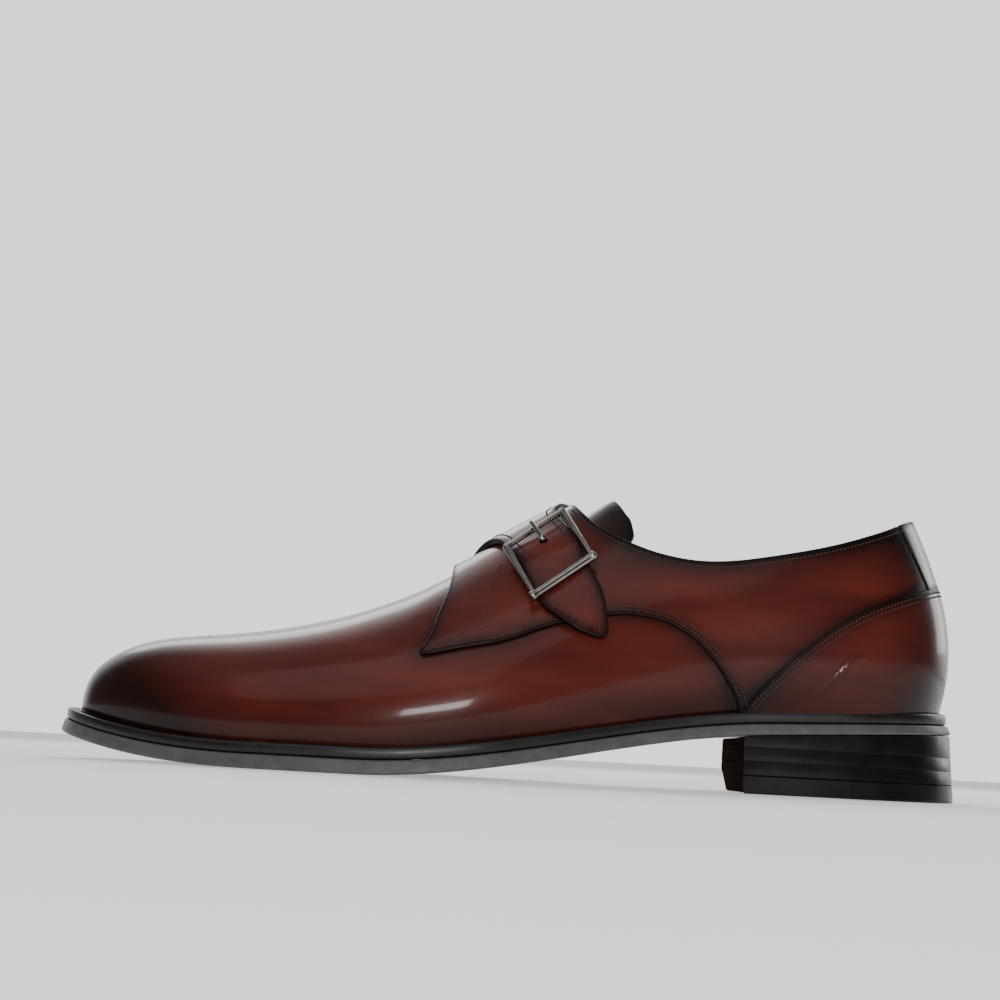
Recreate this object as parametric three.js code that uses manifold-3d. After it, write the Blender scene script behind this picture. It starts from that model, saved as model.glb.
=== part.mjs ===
// Single-strap dress shoe, left foot, built on one last function.
// Millimetres. X runs from toe to heel, -Y is the lateral side, +Z is up.
import * as THREE from 'three';
import { mergeVertices } from 'three/addons/utils/BufferGeometryUtils.js';
import Module from 'manifold-3d';

// Driving sizes
const LENGTH = 305;
const BALL_WIDTH = 95;
const INSTEP_RISE = 80;
const SOLE_FORE = 4.7;
const SOLE_REAR = 2.8;
const WELT = 3.6;
const WELT_INSET = 0.7;
const EDGE_FLARE = 1.6;
const TOE_SPRING = 9;
const SEAT_HEIGHT = 19.2;
const SEAT_SLOPE = 0.055;
const HEEL_LENGTH = 76;
const HEEL_FLARE = 1.8;
const TOP_PIECE = 6;
const LIFT = 4.5;
const BREAST_CURVE = 3;
const TOP_SEAM = 0.52;
const TOP_SEAM_SLANT = 0.15;
const NOTCH_DEPTH = 15;
const NOTCH_WIDTH = 11;
const NOTCH_HEIGHT = 11;
const WALL = 1.9;
const OVERLAY = 1.2;
const COUNTER_LEATHER = 1.6;
const RIDGE_STAND = 1.5;
const TONGUE_LEATHER = 2;
const STRAP_LEATHER = 2;
const COLLAR_TILT = 0.05;
const BUCKLE_WIDTH = 26;
const BUCKLE_BAR = 2.6;
const PRONG = 1.6;
const FIT = 0.3;
const TONGUE_FIT = 0.9;
const ROWS_ALONG = 36;
const ROWS_ROUND = 22;
const LEAN_ROW = 9.5;
const HEEL_ROW = 8.5;
const DROP = 6;

// Last sections from toe to heel. x is a share of LENGTH from the middle,
// foot, belly and crown are shares of BALL_WIDTH (lateral, medial),
// rise is a share of INSTEP_RISE and up is the height share of the belly.
const LAST = {
  columns: ['x', 'footL', 'footM', 'bellyL', 'bellyM', 'up', 'crownL', 'crownM', 'rise'],
  rows: [
    [-0.4836, 0.000, 0.000, 0.000, 0.000, 0.55, 0.000, 0.000, 0.000],
    [-0.4754, 0.100, 0.111, 0.016, 0.016, 0.60, 0.063, 0.068, 0.150],
    [-0.4541, 0.179, 0.200, 0.026, 0.026, 0.60, 0.121, 0.132, 0.256],
    [-0.4164, 0.263, 0.289, 0.037, 0.032, 0.60, 0.179, 0.200, 0.354],
    [-0.3541, 0.353, 0.379, 0.042, 0.037, 0.60, 0.232, 0.263, 0.425],
    [-0.2557, 0.447, 0.463, 0.047, 0.037, 0.58, 0.263, 0.305, 0.492],
    [-0.1574, 0.500, 0.500, 0.053, 0.032, 0.55, 0.263, 0.316, 0.599],
    [-0.0590, 0.500, 0.453, 0.074, 0.032, 0.50, 0.211, 0.263, 0.761],
    [0.0262, 0.447, 0.363, 0.095, 0.063, 0.46, 0.158, 0.189, 0.900],
    [0.0984, 0.384, 0.300, 0.116, 0.105, 0.42, 0.137, 0.147, 1.000],
    [0.1967, 0.314, 0.261, 0.137, 0.137, 0.36, 0.158, 0.158, 1.087],
    [0.3115, 0.293, 0.277, 0.137, 0.137, 0.34, 0.168, 0.168, 1.100],
    [0.4098, 0.261, 0.261, 0.116, 0.116, 0.34, 0.137, 0.137, 1.075],
    [0.4610, 0.137, 0.137, 0.053, 0.053, 0.34, 0.074, 0.074, 1.062],
    [0.4770, 0.000, 0.000, 0.000, 0.000, 0.34, 0.000, 0.000, 1.062],
  ],
};
// Lean of the heel back: height as a share of INSTEP_RISE, offset as a share of LENGTH
const HEEL_CURVE = {
  columns: ['height', 'lean'],
  rows: [
    [0.00, -0.0016],
    [0.15, 0.0070],
    [0.30, 0.0085],
    [0.45, 0.0030],
    [0.60, -0.0090],
    [0.75, -0.0240],
    [0.90, -0.0430],
    [1.05, -0.0640],
  ],
};
// How far the sole stands out past the upper, in sizes along the last
const SOLE_MARGIN = {
  columns: ['x', 'lateral', 'medial'],
  rows: [
    [-0.500, 5.2, 5.2],
    [-0.350, 6.0, 5.4],
    [-0.180, 5.6, 5.0],
    [-0.020, 4.6, 4.0],
    [0.120, 2.9, 2.6],
    [0.250, 2.8, 2.6],
    [0.400, 2.8, 2.8],
    [0.480, 4.6, 4.6],
    [0.500, 4.8, 4.8],
  ],
};
// Panel edges seen from the side: x as a share of LENGTH from the middle,
// height above the feather edge as a share of INSTEP_RISE
const QUARTER_EDGE = {
  columns: ['x', 'height'],
  rows: [
    [-0.0557, 0.990],
    [-0.0639, 0.794],
    [-0.0682, 0.710],
    [-0.0715, 0.626],
    [-0.0793, 0.532],
    [-0.0885, 0.418],
    [-0.0951, 0.363],
    [-0.0593, 0.378],
    [-0.0190, 0.390],
    [0.0111, 0.412],
    [0.0479, 0.439],
    [0.0987, 0.447],
    [0.1246, 0.437],
    [0.1492, 0.411],
    [0.1698, 0.374],
    [0.1915, 0.315],
    [0.2066, 0.257],
    [0.2203, 0.191],
    [0.2318, 0.121],
    [0.2430, 0.042],
    [0.2475, -0.037],
  ],
};
const COUNTER_EDGE = {
  columns: ['x', 'height'],
  rows: [
    [0.2495, -0.037],
    [0.2545, 0.029],
    [0.2846, 0.146],
    [0.3193, 0.258],
    [0.3564, 0.357],
    [0.3938, 0.425],
    [0.4328, 0.478],
    [0.4787, 0.530],
    [0.5246, 0.545],
  ],
};
const COLLAR_EDGE = {
  columns: ['x', 'height'],
  rows: [
    [0.0590, 1.600],
    [0.0623, 0.965],
    [0.0816, 0.871],
    [0.1000, 0.812],
    [0.1187, 0.763],
    [0.1433, 0.711],
    [0.1636, 0.678],
    [0.1957, 0.643],
    [0.2344, 0.631],
    [0.2731, 0.644],
    [0.3279, 0.680],
    [0.3738, 0.724],
    [0.4098, 0.770],
    [0.4361, 0.811],
    [0.4918, 0.872],
  ],
};
const STRIP_EDGE = {
  columns: ['x', 'height'],
  rows: [
    [0.4000, 1.000],
    [0.4215, 0.790],
    [0.4500, 0.540],
    [0.4600, 0.440],
  ],
};
// Strap across the instep: around runs from the ridge (0) to the lateral feather edge (-1),
// front and rear are shares of LENGTH, under is the height of its flesh side over the last
// as a share of STRAP_LEATHER
const STRAP = {
  columns: ['around', 'front', 'rear', 'under'],
  rows: [
    [0.300, -0.0660, 0.0790, 0.30],
    [0.200, -0.0600, 0.0740, 0.45],
    [0.100, -0.0480, 0.0660, 1.10],
    [0.030, -0.0350, 0.0570, 1.70],
    [-0.050, -0.0240, 0.0500, 1.70],
    [-0.120, -0.0178, 0.0450, 1.70],
    [-0.200, -0.0098, 0.0470, 1.60],
    [-0.270, -0.0050, 0.0530, 1.60],
    [-0.340, 0.0025, 0.0600, 2.10],
    [-0.410, 0.0085, 0.0670, 2.35],
    [-0.470, 0.0145, 0.0730, 1.75],
    [-0.530, 0.0210, 0.0815, 1.00],
    [-0.590, 0.0300, 0.0900, 0.95],
    [-0.640, 0.0446, 0.0940, 0.95],
    [-0.680, 0.0590, 0.0958, 0.95],
    [-0.710, 0.0720, 0.0968, 0.95],
    [-0.735, 0.0890, 0.0966, 0.95],
  ],
};
// Tongue: x as a share of LENGTH, half width around the instep, lift over its place inside,
// lean is how far its sides lie behind its middle, as a share of LENGTH
const TONGUE = {
  columns: ['x', 'around', 'lift', 'lean'],
  rows: [
    [-0.0700, 0.34, 0.0, 0.0],
    [-0.0300, 0.40, 0.0, 0.0],
    [0.0200, 0.44, 0.0, 0.0],
    [0.0560, 0.44, 0.0, 0.002],
    [0.0720, 0.44, 0.2, 0.006],
    [0.0860, 0.44, 0.8, 0.013],
    [0.0960, 0.42, 1.3, 0.018],
    [0.1020, 0.38, 1.2, 0.020],
    [0.1045, 0.34, 0.7, 0.021],
  ],
};
const BUCKLE_FAR = -0.275;
const BUCKLE_MID = -0.400;
const BUCKLE_NEAR = -0.530;
const BUCKLE_AXIS = [0.76, 0.27, 0.59];
const PRONG_HOLE = -0.352;

const wasm = await Module();
wasm.setup();
const { Manifold, Mesh } = wasm;

// Smooth curve through evenly counted rows
function curve(values, clamped) {
  const n = values.length;
  const below = new Array(n).fill(1);
  const main = new Array(n).fill(4);
  const above = new Array(n).fill(1);
  const right = values.map((v, i) => (i > 0 && i < n - 1
    ? 6 * (values[i - 1] - 2 * v + values[i + 1]) : 0));
  main[0] = clamped ? 2 : 1;
  above[0] = clamped ? 1 : 0;
  main[n - 1] = clamped ? 2 : 1;
  below[n - 1] = clamped ? 1 : 0;
  if (clamped) {
    right[0] = 6 * (values[1] - values[0]);
    right[n - 1] = -6 * (values[n - 1] - values[n - 2]);
  }
  for (let i = 1; i < n; i++) {
    const w = below[i] / main[i - 1];
    main[i] -= w * above[i - 1];
    right[i] -= w * right[i - 1];
  }
  const bend = new Array(n).fill(0);
  bend[n - 1] = right[n - 1] / main[n - 1];
  for (let i = n - 2; i >= 0; i--) bend[i] = (right[i] - above[i] * bend[i + 1]) / main[i];
  return (at) => {
    const i = Math.min(n - 2, Math.max(0, Math.floor(at)));
    const t = at - i;
    const s = 1 - t;
    return s * values[i] + t * values[i + 1]
      + ((s ** 3 - s) * bend[i] + (t ** 3 - t) * bend[i + 1]) / 6;
  };
}

// Straight reading of a table by its first column
function read(table, key, name) {
  const a = table.columns.indexOf(name);
  const rows = table.rows;
  const up = rows[rows.length - 1][0] > rows[0][0] ? 1 : -1;
  if ((key - rows[0][0]) * up <= 0) return rows[0][a];
  for (let i = 1; i < rows.length; i++) {
    if ((key - rows[i][0]) * up <= 0) {
      const t = (key - rows[i - 1][0]) / (rows[i][0] - rows[i - 1][0]);
      return rows[i - 1][a] + t * (rows[i][a] - rows[i - 1][a]);
    }
  }
  return rows[rows.length - 1][a];
}

const column = (name) => LAST.rows.map((row) => row[LAST.columns.indexOf(name)]);
const lastCurves = Object.fromEntries(LAST.columns.map((name) => [name, curve(column(name), name === 'x')]));
const LAST_END = LAST.rows.length - 1;
const leanCurve = curve(HEEL_CURVE.rows.map((row) => row[1]), false);
const clamp = (v, lo, hi) => Math.min(hi, Math.max(lo, v));
const smooth = (v) => v * v * (3 - 2 * v);

// Underside of the outsole along the shoe
const BALL_FRONT = -0.27 * LENGTH;
const BALL_BACK = -0.157 * LENGTH;
const SEAT_FRONT = 0.279 * LENGTH;
function underside(x) {
  const toe = clamp((BALL_FRONT - x) / (BALL_FRONT + LENGTH / 2), 0, 2);
  const u = clamp((x - BALL_BACK) / (SEAT_FRONT - BALL_BACK), 0, 1);
  const arch = SEAT_HEIGHT * smooth(u) + SEAT_SLOPE * (SEAT_FRONT - BALL_BACK) * (u ** 3 - u ** 2);
  return TOE_SPRING * toe ** 2.2 + arch + SEAT_SLOPE * Math.max(0, x - SEAT_FRONT);
}
const soleThick = (x) => SOLE_FORE + (SOLE_REAR - SOLE_FORE) * smooth(clamp(x / LENGTH + 0.2, 0, 1));
const weltUnder = (x) => underside(x) + soleThick(x) + FIT;
const weltTop = (x) => weltUnder(x) + WELT;
const feather = (x) => weltTop(x) + FIT;

// A point of the last. row runs toe to heel, around runs -1 lateral to 1 medial
function last(row, around) {
  const g = (name) => lastCurves[name](row);
  const side = around < 0 ? 'L' : 'M';
  const r = Math.abs(around);
  const s = 1 - r;
  const foot = g(`foot${side}`) * BALL_WIDTH;
  const belly = g(`belly${side}`) * BALL_WIDTH;
  const crown = g(`crown${side}`) * BALL_WIDTH;
  const rise = g('rise') * INSTEP_RISE;
  const y = r ** 3 * foot + 3 * r * r * s * (foot + belly) + 3 * r * s * s * crown;
  const z = 3 * r * r * s * g('up') * rise + 3 * r * s * s * rise + s ** 3 * rise;
  const back = smooth(clamp((row - LEAN_ROW) / (LAST_END - LEAN_ROW), 0, 1));
  const lean = leanCurve(clamp(z / INSTEP_RISE / 0.15, 0, 7)) * LENGTH;
  const x0 = g('x') * LENGTH;
  return new THREE.Vector3(x0 + lean * back, around < 0 ? -y : y, feather(x0) + z);
}
function lastNormal(row, around) {
  const e = 1e-3;
  if (row < 0.02) return new THREE.Vector3(-1, 0, 0);
  const k = clamp(row, e, LAST_END - e);
  const v = clamp(around, -1 + e, 1 - e);
  const along = last(k + e, v).sub(last(k - e, v));
  const round = last(k, v + e).sub(last(k, v - e));
  const n = round.cross(along).multiplyScalar(-1).normalize();
  if (row > LAST_END - 0.02) n.y = 0;
  return n.normalize();
}
const offLast = (row, around, d) => last(row, around).addScaledVector(lastNormal(row, around), d);
function rowAt(x) {
  let lo = 0;
  let hi = LAST_END;
  for (let i = 0; i < 30; i++) {
    const mid = (lo + hi) / 2;
    if (lastCurves.x(mid) * LENGTH < x) lo = mid;
    else hi = mid;
  }
  return (lo + hi) / 2;
}

// A closed solid from a grid of points with given triangles
function solidOf(points, faces) {
  const flat = new Float32Array(points.length * 3);
  points.forEach((p, i) => flat.set([p.x, p.y, p.z], i * 3));
  let geometry = new THREE.BufferGeometry();
  geometry.setAttribute('position', new THREE.BufferAttribute(flat, 3));
  geometry.setIndex(faces);
  geometry = mergeVertices(geometry, 1e-4);
  const index = geometry.index.array;
  const kept = [];
  for (let i = 0; i < index.length; i += 3) {
    const [a, b, c] = [index[i], index[i + 1], index[i + 2]];
    if (a !== b && b !== c && a !== c) kept.push(a, b, c);
  }
  const made = new Manifold(new Mesh({
    numProp: 3,
    vertProperties: new Float32Array(geometry.attributes.position.array),
    triVerts: new Uint32Array(kept),
  }));
  return made;
}
// Skin through closed rings, capped at both ends
function ringSolid(rings) {
  const m = rings[0].length;
  const points = rings.flat();
  const faces = [];
  for (let i = 0; i + 1 < rings.length; i++) {
    for (let j = 0; j < m; j++) {
      const a = i * m + j;
      const b = i * m + ((j + 1) % m);
      faces.push(a, b, b + m, a, b + m, a + m);
    }
  }
  const caps = [0, (rings.length - 1) * m];
  for (let j = 1; j + 1 < m; j++) {
    faces.push(caps[0], caps[0] + j + 1, caps[0] + j);
    faces.push(caps[1], caps[1] + j, caps[1] + j + 1);
  }
  return solidOf(points, faces);
}

// The last grown by d, open form closed underneath, reaching drop below the feather edge
function form(d, drop) {
  const points = [];
  const faces = [];
  const m = ROWS_ROUND + 3;
  for (let i = 0; i <= ROWS_ALONG; i++) {
    const row = (LAST_END * i) / ROWS_ALONG;
    const ring = [];
    for (let j = 0; j <= ROWS_ROUND; j++) {
      const t = (2 * j) / ROWS_ROUND - 1;
      ring.push(offLast(row, Math.sin((t * Math.PI) / 2) * 0.35 + t * 0.65, d));
    }
    const down = (p) => new THREE.Vector3(p.x, p.y, p.z - drop - 0.01);
    points.push(down(ring[0]), ...ring, down(ring[ROWS_ROUND]));
  }
  for (let i = 0; i < ROWS_ALONG; i++) {
    for (let j = 0; j < m; j++) {
      const a = i * m + j;
      const b = i * m + ((j + 1) % m);
      faces.push(a, a + m, b + m, a, b + m, b);
    }
  }
  return solidOf(points, faces);
}

// Upright prism across the shoe from a side outline
function sidePrism(outline, y0, y1, tilt = 0) {
  const shape = new THREE.Shape(outline.map((p) => new THREE.Vector2(p[0], p[1])));
  const loop = shape.getPoints();
  if (THREE.ShapeUtils.isClockWise(loop)) loop.reverse();
  const tris = THREE.ShapeUtils.triangulateShape(loop, []);
  const n = loop.length;
  const at = (p, y) => new THREE.Vector3(p.x, y, p.y + tilt * y);
  const points = [...loop.map((p) => at(p, y0)), ...loop.map((p) => at(p, y1))];
  const faces = [];
  tris.forEach(([a, b, c]) => faces.push(a, b, c, a + n, c + n, b + n));
  for (let i = 0; i < n; i++) {
    const j = (i + 1) % n;
    faces.push(i, i + n, j + n, i, j + n, j);
  }
  return solidOf(points, faces);
}
// Upright prism from a plan outline, with its edge flared towards the bottom
function planPrism(lower, upper, z0, z1) {
  const at = (loop, z) => loop.map((p) => new THREE.Vector3(p[0], p[1], z));
  const shape = lower.map((p) => new THREE.Vector2(p[0], p[1]));
  const tris = THREE.ShapeUtils.triangulateShape(shape, []);
  const n = lower.length;
  const points = [...at(lower, z0), ...at(upper, z1)];
  const faces = [];
  tris.forEach(([a, b, c]) => faces.push(a, c, b, a + n, b + n, c + n));
  for (let i = 0; i < n; i++) {
    const j = (i + 1) % n;
    faces.push(i, j, j + n, i, j + n, i + n);
  }
  return solidOf(points, faces);
}
const edgeLine = (table) => table.rows.map(([x, h]) => [x * LENGTH, feather(x * LENGTH) + h * INSTEP_RISE]);

// Plan outline of the feather edge moved out by a margin on each side
function planOutline(margin, from = 0) {
  const side = (sign) => {
    const line = [];
    for (let i = 0; i <= ROWS_ALONG; i++) {
      const row = from + ((LAST_END - from) * i) / ROWS_ALONG;
      const e = 1e-3;
      const name = sign < 0 ? 'footL' : 'footM';
      const spot = (k) => [lastCurves.x(k) * LENGTH, sign * lastCurves[name](k) * BALL_WIDTH];
      const k = clamp(row, e, LAST_END - e);
      const a = spot(k - e);
      const b = spot(k + e);
      const n = Math.hypot(b[0] - a[0], b[1] - a[1]);
      const out = [sign * -(b[1] - a[1]) / n, (sign * (b[0] - a[0])) / n];
      if (row < 0.01 || row > LAST_END - 0.01) out[1] = 0;
      const p = spot(row);
      const grow = margin(p[0], sign);
      line.push([p[0] + out[0] * grow, p[1] + out[1] * grow]);
    }
    return line;
  };
  return { lateral: side(-1), medial: side(1) };
}
function soleMargin(extra) {
  return (x, sign) => read(SOLE_MARGIN, x / LENGTH, sign < 0 ? 'lateral' : 'medial') + extra;
}
// A plate that follows the shoe between two heights along it
function plate(lowOutline, highOutline, low, high) {
  const rings = [];
  const n = lowOutline.lateral.length;
  for (let i = 0; i < n; i++) {
    const at = (p, height) => new THREE.Vector3(p[0], p[1], height(p[0]));
    rings.push([
      at(lowOutline.lateral[i], low),
      at(lowOutline.medial[i], low),
      at(highOutline.medial[i], high),
      at(highOutline.lateral[i], high),
    ]);
  }
  return ringSolid(rings);
}

function makeOutsole() {
  return plate(planOutline(soleMargin(EDGE_FLARE * 0.45)), planOutline(soleMargin(0)),
    underside, (x) => underside(x) + soleThick(x));
}
function makeWelt() {
  const ring = planOutline(soleMargin(-WELT_INSET));
  const hollow = planOutline(() => -WALL - 2);
  const outer = plate(ring, ring, weltUnder, weltTop);
  const inner = plate(hollow, hollow, (x) => weltUnder(x) - 2, (x) => weltTop(x) + 2);
  return outer.subtract(inner);
}
function makeInsole() {
  const board = planOutline(() => -WALL - 2 - FIT);
  return plate(board, board, weltUnder, weltTop);
}
// Everything below the top of the welt, with the gap of a fit
function belowWelt() {
  const wide = planOutline(() => BALL_WIDTH / 10);
  return plate(wide, wide, (x) => underside(x) - WELT, feather);
}
// Collar opening and everything above it
function collarCutter() {
  const line = edgeLine(COLLAR_EDGE);
  const high = 3 * INSTEP_RISE;
  const outline = [[line[0][0], high], ...line, [LENGTH, line[line.length - 1][1]], [LENGTH, high]];
  return sidePrism(outline, -BALL_WIDTH, BALL_WIDTH, COLLAR_TILT);
}
function makeUpper(cutter) {
  return form(0, 0).subtract(form(-WALL, DROP)).subtract(cutter);
}
// Standing of the quarters over the tongue at the ridge of the instep
function overlayForm(d) {
  const stand = (row, around) => RIDGE_STAND * Math.exp(-((around / 0.25) ** 2));
  const points = [];
  const faces = [];
  const m = ROWS_ROUND + 1;
  for (let i = 0; i <= ROWS_ALONG; i++) {
    const row = (LAST_END * i) / ROWS_ALONG;
    for (let j = 0; j <= ROWS_ROUND; j++) {
      const t = (2 * j) / ROWS_ROUND - 1;
      const v = Math.sin((t * Math.PI) / 2) * 0.35 + t * 0.65;
      points.push(offLast(row, v, d + (d > FIT ? stand(row, v) : 0)));
    }
  }
  for (let i = 0; i < ROWS_ALONG; i++) {
    for (let j = 0; j < m; j++) {
      const a = i * m + j;
      const b = i * m + ((j + 1) % m);
      faces.push(a, a + m, b + m, a, b + m, b);
    }
  }
  return solidOf(points, faces);
}
function quarterOutline() {
  const front = edgeLine(QUARTER_EDGE);
  const counter = edgeLine(COUNTER_EDGE).map(([x, z]) => [x, z + FIT]);
  const strip = edgeLine(STRIP_EDGE).map(([x, z]) => [x - FIT, z]).reverse();
  const top = [strip[strip.length - 1][0], 3 * INSTEP_RISE];
  const cross = counter.filter(([x]) => x < strip[0][0] - 6);
  return [[front[0][0], 3 * INSTEP_RISE], ...front, ...cross, ...strip.slice(1), top];
}
function makeQuarter(skin, cutter, sign) {
  const edge = FIT / 2;
  const prism = sign < 0 ? sidePrism(quarterOutline(), -BALL_WIDTH, -edge)
    : sidePrism(quarterOutline(), edge, BALL_WIDTH);
  return skin.intersect(prism).subtract(cutter);
}
function makeCounter(inner, below) {
  const line = edgeLine(COUNTER_EDGE);
  const outline = [...line, [LENGTH, line[line.length - 1][1]], [LENGTH, 0], [line[0][0], 0]];
  return form(FIT + COUNTER_LEATHER, 0).subtract(inner).subtract(below)
    .intersect(sidePrism(outline, -BALL_WIDTH, BALL_WIDTH));
}
function makeBackStrip(inner, cutter) {
  const strip = edgeLine(STRIP_EDGE);
  const counter = edgeLine(COUNTER_EDGE).map(([x, z]) => [x, z + FIT]);
  const foot = counter.filter(([x]) => x > strip[2][0]);
  const outline = [...strip.slice(0, 3), ...foot, [LENGTH, 3 * INSTEP_RISE], [strip[0][0], 3 * INSTEP_RISE]];
  return form(FIT + COUNTER_LEATHER, 0).subtract(inner)
    .intersect(sidePrism(outline, -BALL_WIDTH, BALL_WIDTH)).subtract(cutter);
}

// A patch of leather between two heights over the last
function patch(rows, place) {
  const rings = rows.map((cells) => {
    const low = cells.map((c) => place(c, false));
    const high = cells.map((c) => place(c, true)).reverse();
    return [...low, ...high];
  });
  return ringSolid(rings);
}
function makeTongue() {
  const across = 12;
  const along = 18;
  const table = TONGUE.rows;
  const x0 = table[0][0];
  const x1 = table[table.length - 1][0];
  const rows = [];
  for (let i = 0; i <= along; i++) {
    const x = x0 + ((x1 - x0) * i) / along;
    const half = read(TONGUE, x, 'around');
    const lift = read(TONGUE, x, 'lift');
    const lean = read(TONGUE, x, 'lean');
    const cells = [];
    for (let j = 0; j <= across; j++) {
      const t = (2 * j) / across - 1;
      const row = rowAt((x + lean * t * t) * LENGTH);
      cells.push({ row, around: t * half, lift: lift * (1 - t * t) });
    }
    rows.push(cells);
  }
  const base = -WALL - TONGUE_FIT - TONGUE_LEATHER;
  return patch(rows, (c, high) => offLast(c.row, c.around, base + c.lift + (high ? TONGUE_LEATHER : 0)));
}
const strapUnder = (around) => read(STRAP, around, 'under') * STRAP_LEATHER;
function makeStrap() {
  const across = 6;
  const rows = [];
  const table = STRAP.rows;
  const steps = 26;
  for (let i = 0; i <= steps; i++) {
    const around = table[0][0] + ((table[table.length - 1][0] - table[0][0]) * i) / steps;
    const front = read(STRAP, around, 'front');
    const rear = read(STRAP, around, 'rear');
    const cells = [];
    for (let j = 0; j <= across; j++) {
      const x = front + ((rear - front) * j) / across;
      cells.push({ row: rowAt(x * LENGTH), around });
    }
    rows.push(cells);
  }
  const under = (c) => strapUnder(c.around);
  return patch(rows, (c, high) => offLast(c.row, c.around, under(c) + (high ? STRAP_LEATHER : 0)));
}
function strapMiddle(around, d) {
  const x = (read(STRAP, around, 'front') + read(STRAP, around, 'rear')) / 2;
  return offLast(rowAt(x * LENGTH), around, strapUnder(around) + d);
}
function strapNormal(around) {
  const x = (read(STRAP, around, 'front') + read(STRAP, around, 'rear')) / 2;
  return lastNormal(rowAt(x * LENGTH), around);
}
// A bar with a round or flat section along a path
function bar(path, side, halfWide, halfThick, count) {
  const rings = path.map((p, i) => {
    const a = path[Math.max(0, i - 1)];
    const b = path[Math.min(path.length - 1, i + 1)];
    const run = b.clone().sub(a).normalize();
    const wide = side.clone().addScaledVector(run, -side.dot(run)).normalize();
    const thick = run.clone().cross(wide);
    const ring = [];
    for (let j = 0; j < count; j++) {
      const t = (2 * Math.PI * (j + 0.5)) / count;
      const c = count === 4 ? Math.SQRT2 : 1;
      ring.push(p.clone().addScaledVector(wide, Math.cos(t) * halfWide * c)
        .addScaledVector(thick, Math.sin(t) * halfThick * c));
    }
    return ring;
  });
  return ringSolid(rings);
}
function buckleParts() {
  const axis = new THREE.Vector3(...BUCKLE_AXIS).normalize();
  const half = BUCKLE_WIDTH / 2;
  const r = BUCKLE_BAR / 2;
  const over = STRAP_LEATHER + 3 * FIT + r;
  const far = strapMiddle(BUCKLE_FAR, over);
  const near = strapMiddle(BUCKLE_NEAR, over);
  const middle = strapMiddle(BUCKLE_MID, -2 * FIT - 0.7);
  const up = strapNormal(BUCKLE_MID);
  const arch = far.clone().add(near).multiplyScalar(0.5).addScaledVector(up, 0.6);
  const shift = (p, w) => p.clone().addScaledVector(axis, w);
  const spine = (w) => {
    const line = [];
    for (let i = 0; i <= 8; i++) {
      const t = i / 8;
      line.push(shift(far, w).multiplyScalar((1 - t) ** 2)
        .addScaledVector(shift(arch, w), 2 * t * (1 - t)).addScaledVector(shift(near, w), t * t));
    }
    return line;
  };
  const sideAt = half - r * 0.7;
  const sides = [-sideAt, sideAt].map((w) => bar(spine(w), axis, r * 0.7, r * 0.8, 4));
  const cross = (p, reach, radius) => bar([shift(p, -reach), shift(p, reach)], up, radius, radius, 10);
  const posts = [-sideAt, sideAt].map((w) => {
    const foot = shift(middle, w);
    const t = 0.5;
    const head = spine(w)[4];
    return bar([foot.clone().addScaledVector(up, -0.3), head.clone().lerp(foot, 0.1 * t)], axis, r * 0.6, 0.9, 4);
  });
  const frame = Manifold.union([...sides, cross(near, half, r), cross(far, half - r * 0.4, r * 0.75),
    cross(middle, half - r * 0.7, 0.7), ...posts]);
  return { frame, far, near, middle, axis, up };
}
function makeProng(buckle) {
  const r = PRONG / 2;
  const hole = strapMiddle(PRONG_HOLE, 0);
  const out = strapNormal(PRONG_HOLE);
  const path = [
    hole.clone().addScaledVector(out, -0.9),
    hole.clone().addScaledVector(out, STRAP_LEATHER + 0.2),
    hole.clone().addScaledVector(out, STRAP_LEATHER + r + 0.6).addScaledVector(
      buckle.far.clone().sub(hole).normalize(), 1.2),
    buckle.far.clone().addScaledVector(strapNormal(BUCKLE_FAR), BUCKLE_BAR * 0.375 + r + FIT),
    buckle.far.clone().addScaledVector(strapNormal(BUCKLE_FAR), BUCKLE_BAR * 0.375 + r + FIT)
      .addScaledVector(buckle.far.clone().sub(buckle.near).normalize(), PRONG)
      .addScaledVector(strapNormal(BUCKLE_FAR), -FIT),
  ];
  return bar(path, buckle.axis, r, r, 8);
}
function prongHole() {
  const hole = strapMiddle(PRONG_HOLE, 0);
  const out = strapNormal(PRONG_HOLE);
  const reach = [-3, STRAP_LEATHER + 3].map((d) => hole.clone().addScaledVector(out, d));
  return bar(reach, new THREE.Vector3(1, 0, 0), PRONG / 2 + FIT + 0.1, PRONG / 2 + FIT + 0.1, 12);
}

// Heel stack
const BREAST = LENGTH / 2 - HEEL_LENGTH;
function heelBody() {
  const seat = 1.5 * SEAT_HEIGHT;
  const loop = (extra) => {
    const o = planOutline(soleMargin(extra), HEEL_ROW);
    return [...o.lateral, ...o.medial.slice(0, -1).reverse()];
  };
  const solid = planPrism(loop(HEEL_FLARE), loop(0), 0, seat);
  const radius = ((BALL_WIDTH / 3) ** 2 + BREAST_CURVE ** 2) / (2 * BREAST_CURVE);
  const breast = Manifold.cylinder(4 * seat, radius, radius, 240, true)
    .translate(BREAST + BREAST_CURVE - radius, 0, 0);
  const side = BALL_WIDTH / 3;
  const low = new THREE.Vector3(BREAST, side - NOTCH_WIDTH, 0);
  const back = new THREE.Vector3(BREAST + NOTCH_DEPTH, side, 0).sub(low);
  const high = new THREE.Vector3(BREAST, side, NOTCH_HEIGHT).sub(low);
  const corner = back.cross(high).normalize();
  return solid.subtract(breast).trimByPlane(corner.toArray(), corner.dot(low));
}
function slab(z0, z1) {
  return Manifold.cube([2 * LENGTH, 2 * LENGTH, z1 - z0]).translate([-LENGTH, -LENGTH, z0]);
}
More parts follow.
